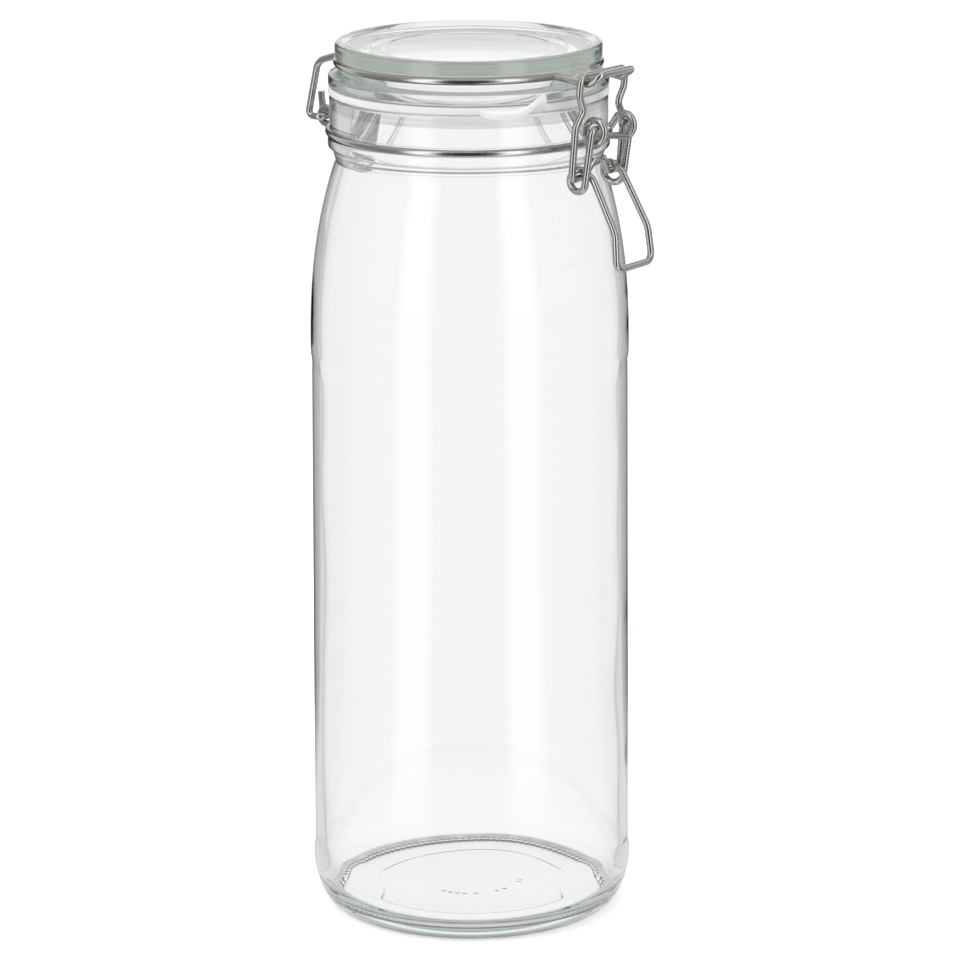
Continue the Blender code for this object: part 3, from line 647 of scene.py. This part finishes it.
def gasket_section(inner, outer):
    low, high = GASKET_BOTTOM + GASKET_ROUND, GASKET_TOP - GASKET_ROUND
    section = quarter((inner + GASKET_ROUND, high), GASKET_ROUND, 180, 90, SEAL_ARC_POINTS)
    start = GASKET_RADIUS - 2 * GASKET_ROUND
    across = [start + (outer - GASKET_ROUND - start) * share for share in SEAL_ROWS]
    section += [(radius, GASKET_TOP) for radius in across]
    section += quarter((outer - GASKET_ROUND, high), GASKET_ROUND, 90, 0, SEAL_ARC_POINTS)
    section += quarter((outer - GASKET_ROUND, low), GASKET_ROUND, 0, -90, SEAL_ARC_POINTS)
    section += [(radius, GASKET_BOTTOM) for radius in reversed(across)]
    section += quarter((inner + GASKET_ROUND, low), GASKET_ROUND, 270, 180, SEAL_ARC_POINTS)
    return section


# ---- wires


def at(side, reach, height, end=FRONT):
    return Vector((side, end * reach, height))


def touch_angle(centre, radius, point, side):
    """The angle on a circle, in the reach and height plane, where a line from point touches it."""
    across, up = point[0] - centre[0], point[1] - centre[1]
    return math.atan2(up, across) + side * math.acos(radius / math.hypot(across, up))


def loop(centre, radius, start, end, side_start, side_end, half=FRONT):
    """Points round a circle in the reach and height plane. It may shift sideways as it turns."""
    count = max(2, math.ceil(abs(end - start) / COIL_STEP))
    made = []
    for i in range(count + 1):
        share = i / count
        turn = start + (end - start) * share
        side = side_start + (side_end - side_start) * share
        reach = centre[0] + radius * math.cos(turn)
        made.append(at(side, reach, centre[1] + radius * math.sin(turn), half))
    return made


def ring_arc(radius, height, start, end):
    """Points along a ring about the axis. The angle is 0 at the clasp, and positive towards +X."""
    count = max(2, math.ceil(abs(end - start) / RING_STEP))
    made = []
    for i in range(count + 1):
        turn = start + (end - start) * i / count
        made.append(Vector((radius * math.sin(turn), -radius * math.cos(turn), height)))
    return made


def bent(corners):
    """The route through corners of (point, bend radius), each corner rounded by an arc."""
    made = [corners[0][0]]
    for (before, _), (corner, radius), (after, _) in zip(corners, corners[1:], corners[2:]):
        inward = (before - corner).normalized()
        outward = (after - corner).normalized()
        turn = math.pi - inward.angle(outward)
        if radius == 0 or turn < BEND_STEP / 4:
            made.append(corner)
            continue
        reach = min((before - corner).length, (after - corner).length) / 2
        tangent = min(radius * math.tan(turn / 2), reach)
        radius = tangent / math.tan(turn / 2)
        centre = corner + (inward + outward).normalized() * radius / math.cos(turn / 2)
        first = corner + inward * tangent - centre
        axis = inward.cross(outward)
        count = math.ceil(turn / BEND_STEP)
        for i in range(count + 1):
            made.append(centre + Quaternion(axis, -turn * i / count) @ first)
    made.append(corners[-1][0])
    return made


def plain(points):
    return [(point, 0) for point in points]


def mirrored(half):
    return half + [(Vector((-point.x, point.y, point.z)), bend) for point, bend in reversed(half)]


def bar_end(side, turn, bend):
    """The corner that joins the bar to an ear, past the end of its loop, or before its start."""
    reach = EAR_REACH + EAR_RADIUS * math.cos(turn) + bend * math.sin(turn)
    height = EAR_HEIGHT + EAR_RADIUS * math.sin(turn) - bend * math.cos(turn)
    return at(side, reach, height), EAR_BAR_BEND


def neck_wire_route():
    """One closed wire. The two strands cross in front, and each makes the ear on its far side."""
    ring_height = NECK_RING_HEIGHT
    ear = (EAR_REACH, EAR_HEIGHT)
    eye = (EYE_REACH, EYE_HEIGHT)
    eye_ring_angle = math.pi - math.asin(EYE_SIDE / NECK_RING_RADIUS)
    eye_start = math.sqrt(NECK_RING_RADIUS**2 - EYE_SIDE**2)
    crossing = -CROSSING_SIDE / NECK_RING_RADIUS
    near = ring_arc(NECK_RING_RADIUS, ring_height, -eye_ring_angle, crossing)
    route = [(near[0], WIRE_BEND)] + plain(near[1:])
    # The first strand rises through the crossing to the ear at +X
    foot = (NECK_RING_RADIUS + 2 * WIRE_DIAMETER, ring_height + 2 * WIRE_DIAMETER)
    out, up = NECK_RING_RADIUS + WIRE_PITCH / 2, ring_height + WIRE_RADIUS / 2
    over = NECK_RING_RADIUS + WIRE_DIAMETER
    route += [
        (at(CROSSING_SIDE / 4, out, up), CROSSING_SIDE),
        (at(CROSSING_SIDE, over, ring_height + WIRE_PITCH), CROSSING_SIDE),
        (at(EAR_SIDE, *foot), WIRE_BEND),
    ]
    ear_start = touch_angle(ear, EAR_RADIUS, foot, -1) + 2 * math.pi
    route += plain(loop(ear, EAR_RADIUS, ear_start, NEAR_BAR_TURN, EAR_SIDE, EAR_SIDE))
    # The bar between the ears, from the outside of one to the inside of the other
    route.append(bar_end(EAR_SIDE, NEAR_BAR_TURN, EAR_BAR_BEND))
    route.append(bar_end(-EAR_SIDE, FAR_BAR_TURN, -EAR_BAR_BEND))
    # The ear at -X, whose strand comes down and crosses in front of the first
    heel_of_ear = (EAR_REACH - EAR_RADIUS, ring_height + WIRE_RADIUS)
    ear_out = touch_angle(ear, EAR_RADIUS, heel_of_ear, 1)
    route += plain(loop(ear, EAR_RADIUS, FAR_BAR_TURN, ear_out, -EAR_SIDE, -EAR_SIDE))
    dip = ring_height - WIRE_RADIUS / 2
    front = NECK_RING_RADIUS + WIRE_PITCH + WIRE_RADIUS
    route += [
        (at(-EAR_SIDE, *heel_of_ear), WIRE_BEND),
        (at(-CROSSING_SIDE, front + WIRE_RADIUS, ring_height), CROSSING_SIDE),
        (at(CROSSING_SIDE / 4, front, dip), CROSSING_SIDE),
        (at(EAR_SIDE, NECK_RING_RADIUS + WIRE_RADIUS, dip), CROSSING_SIDE),
    ]
    entry = math.asin((EAR_SIDE + CROSSING_SIDE + WIRE_RADIUS) / NECK_RING_RADIUS)
    far = ring_arc(NECK_RING_RADIUS, ring_height, entry, eye_ring_angle)
    route += plain(far[:-1]) + [(far[-1], WIRE_BEND)]
    # The eyes behind, and the bar between them
    eye_in = touch_angle(eye, EYE_RADIUS, (eye_start, ring_height), -1)
    eye_points = loop(eye, EYE_RADIUS, eye_in, -math.pi / 2, EYE_SIDE, EYE_SIDE, BACK)
    bar = at(EYE_SIDE, EYE_BAR_REACH, EYE_HEIGHT - EYE_RADIUS, BACK)
    route += mirrored(plain(eye_points) + [(bar, WIRE_BEND)])
    return bent([route[-1]] + route + [route[0]])[1:-1]


def lid_wire_route():
    """The hook in the eye, the leg, half of the ring and of the nose, then the mirror image."""
    pin = (EYE_REACH, EYE_HEIGHT)
    leg_top = (LEG_TOP_REACH, LID_RING_HEIGHT - LEG_TOP_DROP)
    leg_ring = math.sqrt(LID_RING_RADIUS**2 - LEG_SIDE**2)
    start = math.pi - math.asin(LEG_SIDE / LID_RING_RADIUS)
    end = math.asin(NOSE_RING_SIDE / LID_RING_RADIUS)
    ring = ring_arc(LID_RING_RADIUS, LID_RING_HEIGHT, start, end)[1:-1]
    nose_ring = math.sqrt(LID_RING_RADIUS**2 - NOSE_RING_SIDE**2)
    half = [
        (at(TAIL_SIDE, TAIL_REACH + TAIL_LEAN, EYE_HEIGHT + TAIL_LENGTH, BACK), 0),
        (at(TAIL_SIDE, TAIL_REACH, EYE_HEIGHT, BACK), WIRE_BEND),
        (at(TAIL_SIDE, *pin, BACK), WIRE_BEND),
        (at(LEG_SIDE, *pin, BACK), WIRE_BEND),
        (at(LEG_SIDE, LEG_FOOT_REACH, EYE_HEIGHT, BACK), WIRE_BEND),
        (at(LEG_SIDE, *leg_top, BACK), LEG_BEND),
        (at(LEG_SIDE, leg_ring, LID_RING_HEIGHT, BACK), LEG_BEND),
        *plain(ring),
        (at(NOSE_RING_SIDE, nose_ring, LID_RING_HEIGHT), LEG_BEND),
        (at(NOSE_SIDE, SADDLE_REACH, SADDLE_HEIGHT), LIP_BEND),
        (at(NOSE_SIDE, LIP_REACH, LIP_HEIGHT), LIP_BEND),
    ]
    return bent(mirrored(half))


def lever_wire_route():
    pin = (PIN_REACH, PIN_HEIGHT)
    coil = (COIL_REACH, COIL_HEIGHT)
    shank = (SHANK_REACH, SHANK_HEIGHT)
    knee = (KNEE_REACH, KNEE_HEIGHT)
    coil_start = touch_angle(coil, COIL_RADIUS, pin, -1)
    coil_end = touch_angle(coil, COIL_RADIUS, shank, 1) - 2 * math.pi
    turns = loop(coil, COIL_RADIUS, coil_start, coil_end, ARM_SIDE, HANDLE_COIL_SIDE)
    half = [
        (at(PIN_END_SIDE, *pin), 0),
        (at(ARM_SIDE, *pin), WIRE_BEND),
        *plain(turns),
        (at(HANDLE_COIL_SIDE, *shank), SHANK_BEND),
        (at((HANDLE_COIL_SIDE + HANDLE_SIDE) / 2, *knee), KNEE_BEND),
        (at(HANDLE_SIDE, HANDLE_REACH, HANDLE_HEIGHT), HANDLE_BEND),
    ]
    return bent(mirrored(half))


def link_top():
    """Where the top bar rests: in the corner of the nose, a clearance above both of its flanks."""
    saddle = Vector((SADDLE_REACH, SADDLE_HEIGHT))
    nose_ring = math.sqrt(LID_RING_RADIUS**2 - NOSE_RING_SIDE**2)
    inner = (Vector((nose_ring, LID_RING_HEIGHT)) - saddle).normalized()
    outer = (Vector((LIP_REACH, LIP_HEIGHT)) - saddle).normalized()
    half_angle = inner.angle(outer) / 2
    return saddle + (inner + outer).normalized() * WIRE_PITCH / math.sin(half_angle)


def link_wire_route():
    """The cut tip, the pin in the coil, the bowed leg and the top bar, then the mirror image."""
    pin = Vector((COIL_REACH, COIL_HEIGHT + COIL_PIN_LIFT))
    top = link_top()
    along = (top - pin).normalized()
    tip = pin + Vector((math.cos(TIP_LEAN), math.sin(TIP_LEAN))) * TIP_LENGTH
    half = [
        (at(TIP_SIDE, *tip), 0),
        (at(TIP_CORNER_SIDE, *pin), WIRE_BEND),
        (at(LINK_SIDE, *pin), WIRE_BEND),
        (at(LINK_SIDE, *(pin + along * LINK_STRAIGHT)), LINK_BEND),
        (at(LINK_WAIST_SIDE, *(pin + along * LINK_WAIST)), LINK_BEND),
        (at(LINK_TOP_SIDE, *(pin + along * LINK_NECK)), LINK_BEND),
        (at(LINK_TOP_SIDE, *top), LINK_BEND),
    ]
    return bent(mirrored(half))


def tube(name, points, closed):
    """A round wire along points, which either closes on itself or has two cut ends."""
    steps = [CLEARANCE] + [(point - before).length for before, point in zip(points, points[1:])]
    points = [point for point, step in zip(points, steps) if step > NEAREST_POINTS]
    count = len(points)
    bm = bmesh.new()
    rings = []
    side = None
    for i, point in enumerate(points):
        before = points[i - 1] if closed or i else point
        after = points[(i + 1) % count] if closed or i < count - 1 else point
        heading = ((after - point).normalized() + (point - before).normalized()).normalized()
        if side is None:
            side = heading.orthogonal().normalized()
        side = (side - heading * side.dot(heading)).normalized()
        other = heading.cross(side)
        ring = []
        for k in range(WIRE_SIDES):
            turn = 2 * math.pi * k / WIRE_SIDES
            out = side * math.cos(turn) + other * math.sin(turn)
            ring.append(bm.verts.new(point + out * WIRE_RADIUS))
        rings.append(ring)
    pairs = list(zip(rings, rings[1:]))
    if closed:
        gap = [(rings[0][k].co - rings[-1][0].co).length for k in range(WIRE_SIDES)]
        shift = gap.index(min(gap))
        pairs.append((rings[-1], rings[0][shift:] + rings[0][:shift]))
    for ring, following in pairs:
        for k in range(WIRE_SIDES):
            j = (k + 1) % WIRE_SIDES
            bm.faces.new((ring[k], ring[j], following[j], following[k]))
    if not closed:
        for ring, inner, end in ((rings[0], *points[1::-1]), (rings[-1], *points[-2:])):
            cap(bm, ring, (end - inner).normalized(), end)
    return finished(name, bm)


def cap(bm, ring, outward, centre):
    """A cut end with a small chamfer."""
    lip = []
    for vert in ring:
        inset = (vert.co - centre) * (1 - CHAMFER_SHARE)
        lip.append(bm.verts.new(centre + inset + outward * WIRE_RADIUS * CHAMFER_DEPTH_SHARE))
    for k in range(len(ring)):
        j = (k + 1) % len(ring)
        bm.faces.new((ring[k], ring[j], lip[j], lip[k]))
    bm.faces.new(lip)


# ---- shader nodes


def math_node(nodes, links, operation, first, second=None):
    node = nodes.new("ShaderNodeMath")
    node.operation = operation
    for i, value in enumerate((first, second)):
        if isinstance(value, (int, float)):
            node.inputs[i].default_value = value
        elif value is not None:
            links.new(value, node.inputs[i])
    return node.outputs[0]


def colour_mix(nodes, links, share, first, second):
    mix = nodes.new("ShaderNodeMix")
    mix.data_type = "RGBA"
    links.new(share, mix.inputs[0])
    for socket, value in ((mix.inputs[6], first), (mix.inputs[7], second)):
        if isinstance(value, tuple):
            socket.default_value = value
        else:
            links.new(value, socket)
    return mix.outputs[2]


def tree_of(name):
    made = bpy.data.materials.new(name)
    made.use_nodes = True
    nodes = made.node_tree.nodes
    return made, nodes, made.node_tree.links, nodes["Principled BSDF"]


def noise(nodes, links, scale, detail, stretch=(1, 1, 1)):
    mapping = nodes.new("ShaderNodeMapping")
    mapping.inputs["Scale"].default_value = stretch
    links.new(nodes.new("ShaderNodeTexCoord").outputs["Object"], mapping.inputs["Vector"])
    texture = nodes.new("ShaderNodeTexNoise")
    texture.inputs["Scale"].default_value = scale
    texture.inputs["Detail"].default_value = detail
    links.new(mapping.outputs["Vector"], texture.inputs["Vector"])
    return texture.outputs["Fac"]


def bumped(nodes, links, shader, height, strength, distance):
    bump = nodes.new("ShaderNodeBump")
    bump.inputs["Strength"].default_value = strength
    bump.inputs["Distance"].default_value = distance
    links.new(height, bump.inputs["Height"])
    links.new(bump.outputs["Normal"], shader.inputs["Normal"])


def ranged(nodes, links, value, low, high):
    span = nodes.new("ShaderNodeMapRange")
    span.inputs["To Min"].default_value = low
    span.inputs["To Max"].default_value = high
    links.new(value, span.inputs["Value"])
    return span.outputs["Result"]


def ranged_between(nodes, links, value, start, end, low, high):
    span = nodes.new("ShaderNodeMapRange")
    span.interpolation_type = "SMOOTHSTEP"
    span.inputs["From Min"].default_value = start
    span.inputs["From Max"].default_value = end
    span.inputs["To Min"].default_value = low
    span.inputs["To Max"].default_value = high
    links.new(value, span.inputs["Value"])
    return span.outputs["Result"]


# ---- materials


def from_axis(nodes, links):
    """How far a point of the surface is from the jar's axis, and how high."""
    apart = nodes.new("ShaderNodeSeparateXYZ")
    links.new(nodes.new("ShaderNodeTexCoord").outputs["Object"], apart.inputs["Vector"])
    across = math_node(nodes, links, "POWER", apart.outputs["X"], 2.0)
    along = math_node(nodes, links, "POWER", apart.outputs["Y"], 2.0)
    squared = math_node(nodes, links, "ADD", across, along)
    return math_node(nodes, links, "SQRT", squared), apart.outputs["Z"]


def jar_painted_shade(nodes, links, clear):
    """Painted shade: a dark band, uneven like scuffs, round the edge that the jar stands on, and
    grey streaks round the top of its collar.
    """
    radius, height = from_axis(nodes, links)
    # Painted shade low on the foot, where the shadowed floor under the jar would show through the
    # glass
    low = ranged_between(nodes, links, height, *HEEL_BAND, 1.0, 0.0)
    edge = BEARING_OUTER_RADIUS - HEEL_FADE
    out = ranged_between(nodes, links, radius, edge, BEARING_OUTER_RADIUS, UNDER_SHARE, 1.0)
    scuffs = ranged(nodes, links, noise(nodes, links, SCUFF_SCALE, SCUFF_DETAIL), *SCUFFS)
    scuffed_shade = math_node(nodes, links, "MULTIPLY", out, scuffs)
    share = math_node(nodes, links, "MULTIPLY", low, scuffed_shade)
    tone = colour_mix(nodes, links, share, clear, HEEL_PAINTED_SHADE)
    # Painted shade: grey streaks round the top of the collar, standing in for dark lines bent in by
    # its glass
    start = RIM_HEIGHT - COLLAR_BAND
    end = start + COLLAR_BAND * COLLAR_FADE_SHARE
    top = ranged_between(nodes, links, height, start, end, 0.0, 1.0)
    outside = ranged_between(nodes, links, radius, GROOVE_RADIUS, COLLAR_RADIUS, 0.0, 1.0)
    streaks = noise(nodes, links, STREAK_SCALE, STREAK_DETAIL, stretch=COLLAR_STREAK_STRETCH)
    streaks = ranged(nodes, links, streaks, *COLLAR_STREAKS)
    streaked = math_node(nodes, links, "MULTIPLY", outside, streaks)
    share = math_node(nodes, links, "MULTIPLY", top, streaked)
    return colour_mix(nodes, links, share, tone, COLLAR_PAINTED_SHADE)


def lid_painted_shade(nodes, links, clear):
    """Painted shade and tint: the lid's outer faces are grey green, standing in for the look
    through the whole width of its glass behind them.
    """
    radius, height = from_axis(nodes, links)
    start, end = CROWN_RADIUS - EDGE_FADE, CROWN_RADIUS - EDGE_FADE / 4
    side = ranged_between(nodes, links, radius, start, end, 0.0, 1.0)
    crown = ranged_between(nodes, links, height, FLANGE_TOP, CROWN_BOTTOM, EDGE_SHARE, 1.0)
    streaks = noise(nodes, links, STREAK_SCALE, STREAK_DETAIL, stretch=EDGE_STREAK_STRETCH)
    streaks = ranged(nodes, links, streaks, *EDGE_STREAKS)
    streaked = math_node(nodes, links, "MULTIPLY", crown, streaks)
    share = math_node(nodes, links, "MULTIPLY", side, streaked)
    return colour_mix(nodes, links, share, clear, LID_EDGE_PAINTED_SHADE)


def frost(nodes, links):
    """The pressed underside of the lid's plate is a little frosted, and softens what lies below."""
    _, height = from_axis(nodes, links)
    ceiling = LID_TOP - DISH_DEPTH - DISH_STEP * len(DISH_STEP_RADII) - LID_PLATE
    below = ranged_between(nodes, links, height, ceiling, ceiling + WIRE_RADIUS, 1.0, 0.0)
    above = ranged_between(nodes, links, height, ceiling - WIRE_RADIUS, ceiling, 0.0, FROST)
    return math_node(nodes, links, "MULTIPLY", below, above)


def glass_material(name, wave, lid=False):
    """Clear pressed glass with faint waves on its skin and a green tint where it is thick. Its
    colour has painted shade where the eye grazes it.
    """
    made, nodes, links, shader = tree_of(name)
    facing = nodes.new("ShaderNodeLayerWeight")
    facing.inputs["Blend"].default_value = FACING_BLEND
    rim_start = LID_RIM_START if lid else RIM_START
    # Painted shade: the glass darkens where the eye grazes it, standing in for the dark room bent
    # into its edges
    grazing_shade = ranged_between(nodes, links, facing.outputs["Facing"], rim_start, RIM_END, 0.0, 1.0)
    tone = colour_mix(nodes, links, grazing_shade, GLASS_TONE, GRAZING_PAINTED_SHADE)
    # Painted shade on the jar's foot and collar top, painted shade and tint on the lid's outer
    # faces
    tone = lid_painted_shade(nodes, links, tone) if lid else jar_painted_shade(nodes, links, tone)
    links.new(tone, shader.inputs["Base Color"])
    shader.inputs["Roughness"].default_value = 0.0
    if lid:
        links.new(frost(nodes, links), shader.inputs["Roughness"])
    shader.inputs["IOR"].default_value = GLASS_IOR
    shader.inputs["Transmission Weight"].default_value = 1.0
    waves = noise(nodes, links, GLASS_WAVE_SCALE, GLASS_WAVE_DETAIL, stretch=GLASS_WAVE_STRETCH)
    bumped(nodes, links, shader, waves, wave, GLASS_WAVE_DEPTH)
    tint = nodes.new("ShaderNodeVolumeAbsorption")
    tint.inputs["Color"].default_value = GLASS_TINT
    tint.inputs["Density"].default_value = GLASS_TINT_DENSITY
    links.new(tint.outputs["Volume"], nodes["Material Output"].inputs["Volume"])
    return made


def mottled(nodes, links, shader, pattern, tones, roughness):
    """Colour and polish that both follow a pattern."""
    ramp = nodes.new("ShaderNodeValToRGB")
    for element, tone in zip(ramp.color_ramp.elements, tones):
        element.color = tone
    links.new(pattern, ramp.inputs["Fac"])
    links.new(ramp.outputs["Color"], shader.inputs["Base Color"])
    links.new(ranged(nodes, links, pattern, *roughness), shader.inputs["Roughness"])


def steel_material():
    """Drawn stainless wire: satin, with a fine grain and a little uneven polish."""
    made, nodes, links, shader = tree_of("drawn_stainless")
    shader.inputs["Metallic"].default_value = 1.0
    patches = noise(nodes, links, STEEL_PATCH_SCALE, STEEL_PATCH_DETAIL)
    mottled(nodes, links, shader, patches, STEEL_TONES, STEEL_ROUGHNESS)
    grain = noise(nodes, links, STEEL_GRAIN_SCALE, STEEL_GRAIN_DETAIL)
    bumped(nodes, links, shader, grain, STEEL_GRAIN_STRENGTH, STEEL_GRAIN_DEPTH)
    return made


def rubber_material():
    """Soft white rubber that light sinks into a little, with a fine matt skin."""
    made, nodes, links, shader = tree_of("soft_white_rubber")
    clouds = noise(nodes, links, RUBBER_CLOUD_SCALE, RUBBER_CLOUD_DETAIL)
    mottled(nodes, links, shader, clouds, RUBBER_TONES, RUBBER_ROUGHNESS)
    shader.inputs["Subsurface Weight"].default_value = RUBBER_GLOW_WEIGHT
    shader.inputs["Subsurface Radius"].default_value = RUBBER_GLOW_RADIUS
    shader.inputs["Subsurface Scale"].default_value = RUBBER_GLOW_SCALE
    skin = noise(nodes, links, RUBBER_SKIN_SCALE, RUBBER_SKIN_DETAIL)
    bumped(nodes, links, shader, skin, RUBBER_SKIN_STRENGTH, RUBBER_SKIN_DEPTH)
    return made


# ---- studio


def bands(nodes, links, share, stops):
    """A value that follows a share of the full turn, through stops of (degrees, value)."""
    ramp = nodes.new("ShaderNodeValToRGB")
    elements = ramp.color_ramp.elements
    while len(elements) > 1:
        elements.remove(elements[-1])
    for i, (degrees, value) in enumerate(stops):
        element = elements[0] if i == 0 else elements.new(degrees / 360)
        element.position = degrees / 360
        element.color = (value, value, value, 1)
    links.new(share, ramp.inputs["Fac"])
    return ramp.outputs["Color"]


def studio(nodes, links, vector, stops):
    """A value by the direction round the jar, and how high that direction points."""
    apart = nodes.new("ShaderNodeSeparateXYZ")
    links.new(vector, apart.inputs["Vector"])
    angle = math_node(nodes, links, "ARCTAN2", apart.outputs["Y"], apart.outputs["X"])
    from_view_side = math_node(nodes, links, "ADD", angle, math.pi - VIEW_ANGLE)
    turn = math_node(nodes, links, "DIVIDE", from_view_side, 2 * math.pi)
    share = math_node(nodes, links, "FRACT", math_node(nodes, links, "ADD", turn, WHOLE_TURNS))
    return bands(nodes, links, share, stops), apart.outputs["Z"]


def dimmed(nodes, links, path, value):
    """What a path through glass sees, darker where the path was also reflected in the glass."""
    bounced = math_node(nodes, links, "MINIMUM", path.outputs["Glossy Depth"], 1.0)
    left = math_node(nodes, links, "SUBTRACT", DIM_PASSES, path.outputs["Transmission Depth"])
    kept = math_node(nodes, links, "MINIMUM", math_node(nodes, links, "MAXIMUM", left, 0.0), 1.0)
    inside = math_node(nodes, links, "MULTIPLY", bounced, kept)
    share = math_node(nodes, links, "MULTIPLY", inside, DIM_SHARE)
    return colour_mix(nodes, links, share, value, (DIM, DIM, DIM, 1))


def make_world():
    """White to the camera. Gloss and glass see the studio, and the object gets even light."""
    world = bpy.data.worlds.new("studio")
    bpy.context.scene.world = world
    world.use_nodes = True
    nodes, links = world.node_tree.nodes, world.node_tree.links
    background = nodes["Background"]
    coord = nodes.new("ShaderNodeTexCoord")
    gloss, height = studio(nodes, links, coord.outputs["Generated"], GLOSS_STOPS)
    through = ranged_between(nodes, links, height, *CEILING_RISE, 1.0, CEILING_TONE)
    overhead = ranged_between(nodes, links, height, *OVERHEAD_RISE, 1.0, 0.0)
    path = nodes.new("ShaderNodeLightPath")
    colour = (AMBIENT, AMBIENT, AMBIENT, 1)
    top = colour_mix(nodes, links, overhead, PALE, gloss)
    passed = math_node(nodes, links, "MINIMUM", path.outputs["Transmission Depth"], PALE_SHARE)
    top = colour_mix(nodes, links, passed, top, WHITE)
    colour = colour_mix(nodes, links, path.outputs["Is Glossy Ray"], colour, top)
    through = dimmed(nodes, links, path, through)
    colour = colour_mix(nodes, links, path.outputs["Is Transmission Ray"], colour, through)
    colour = colour_mix(nodes, links, path.outputs["Is Camera Ray"], colour, WHITE)
    links.new(colour, background.inputs["Color"])


def make_floor():
    """A pale floor. It glows a little to the camera, so that it meets the white background. To
    reflections it glows in painted bright and dark studio bands, pale near the jar, and through
    glass it glows white.
    """
    bm = bmesh.new()
    bmesh.ops.create_circle(bm, cap_ends=True, segments=FLOOR_SIDES, radius=FLOOR_RADIUS)
    floor = finished("floor", bm)
    floor.location = (0, 0, -FLOOR_DROP)
    made, nodes, links, shader = tree_of("pale_floor")
    nodes.remove(shader)
    coord = nodes.new("ShaderNodeTexCoord")
    far, _ = studio(nodes, links, coord.outputs["Object"], FLOOR_STOPS)
    reach = nodes.new("ShaderNodeVectorMath")
    reach.operation = "LENGTH"
    links.new(coord.outputs["Object"], reach.inputs[0])
    away = ranged_between(nodes, links, reach.outputs["Value"], *NEAR_FLOOR, 0.0, 1.0)
    gloss = colour_mix(nodes, links, away, PALE, far)
    path = nodes.new("ShaderNodeLightPath")
    passed = math_node(nodes, links, "MINIMUM", path.outputs["Transmission Depth"], PALE_SHARE)
    gloss = colour_mix(nodes, links, passed, gloss, WHITE)
    diffuse = nodes.new("ShaderNodeBsdfDiffuse")
    diffuse.inputs["Color"].default_value = FLOOR_TONE
    glow = nodes.new("ShaderNodeEmission")
    glowing = (FLOOR_GLOW, FLOOR_GLOW, FLOOR_GLOW, 1)
    colour = colour_mix(nodes, links, path.outputs["Is Camera Ray"], BLACK, glowing)
    links.new(colour, glow.inputs["Color"])
    both = nodes.new("ShaderNodeAddShader")
    links.new(diffuse.outputs[0], both.inputs[0])
    links.new(glow.outputs[0], both.inputs[1])
    # Painted light: to reflections the floor glows in bright and dark studio bands, and through
    # glass it glows white
    seen = nodes.new("ShaderNodeEmission")
    through = dimmed(nodes, links, path, WHITE)
    shown = colour_mix(nodes, links, path.outputs["Is Transmission Ray"], gloss, through)
    links.new(shown, seen.inputs["Color"])
    choose = nodes.new("ShaderNodeMixShader")
    glossy, passing = path.outputs["Is Glossy Ray"], path.outputs["Is Transmission Ray"]
    either = math_node(nodes, links, "MAXIMUM", glossy, passing)
    links.new(either, choose.inputs[0])
    links.new(both.outputs[0], choose.inputs[1])
    links.new(seen.outputs[0], choose.inputs[2])
    links.new(choose.outputs[0], nodes["Material Output"].inputs["Surface"])
    floor.data.materials.append(made)


def make_lamp(name, place, power):
    """A soft box that lights the object and the floor. Gloss and glass show the studio instead."""
    data = bpy.data.lights.new(name, "AREA")
    data.shape = "SQUARE"
    data.size = LAMP_SIZE
    data.energy = power
    lamp = bpy.data.objects.new(name, data)
    bpy.context.collection.objects.link(lamp)
    lamp.location = place
    lamp.rotation_mode = "QUATERNION"
    lamp.rotation_quaternion = (LAMP_AIM - lamp.location).to_track_quat("-Z", "Y")
    lamp.visible_camera = False
    lamp.visible_glossy = False
    lamp.visible_transmission = False


def make_camera():
    right = Vector((math.sin(VIEW_ANGLE), -math.cos(VIEW_ANGLE), 0))
    toward = Vector((-math.cos(VIEW_ANGLE), -math.sin(VIEW_ANGLE), 0))
    forward = -toward * math.cos(CAMERA_PITCH) - Vector((0, 0, math.sin(CAMERA_PITCH)))
    turned_to = Matrix((right, right.cross(forward), -forward)).transposed()
    data = bpy.data.cameras.new("camera")
    data.lens = LENS
    data.sensor_width = SENSOR_WIDTH
    camera = bpy.data.objects.new("camera", data)
    bpy.context.collection.objects.link(camera)
    place = toward * CAMERA_DISTANCE + right * CAMERA_SHIFT + Vector((0, 0, CAMERA_HEIGHT))
    roll = Matrix.Rotation(-CAMERA_ROLL, 4, "Z")
    camera.matrix_world = Matrix.Translation(place) @ turned_to.to_4x4() @ roll
    bpy.context.scene.camera = camera


# ---- the scene


def dress(piece, body, node, look):
    piece.data.materials.append(look)
    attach(piece, body)
    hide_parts(node)


def build():
    for obj in list(bpy.data.objects):
        bpy.data.objects.remove(obj, do_unlink=True)
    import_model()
    jar_glass = glass_material("jar_clear_glass", JAR_WAVE_STRENGTH)
    dress(jar_piece(), "jar", "jar_body", jar_glass)
    lid = turned("lid_clear", lid_outline())
    lid_glass = glass_material("lid_clear_glass", LID_WAVE_STRENGTH, lid=True)
    dress(lid, "lid", "lid_glass", lid_glass)
    dress(gasket_piece(), "lid", "gasket", rubber_material())
    steel = steel_material()
    dress(tube("neck_ring", neck_wire_route(), True), "jar", "neck_wire", steel)
    dress(tube("lid_ring", lid_wire_route(), False), "lid", "lid_wire", steel)
    dress(tube("lever_handle", lever_wire_route(), False), "lever", "lever_wire", steel)
    dress(tube("link_bail", link_wire_route(), False), "link", "link_wire", steel)
    make_world()
    make_floor()
    for name, place, power in LAMPS:
        make_lamp(name, place, power)
    make_camera()
    scene = bpy.context.scene
    scene.view_settings.view_transform = "Standard"
    scene.cycles.max_bounces = BOUNCES
    scene.cycles.transmission_bounces = BOUNCES
    scene.cycles.glossy_bounces = BOUNCES


build()
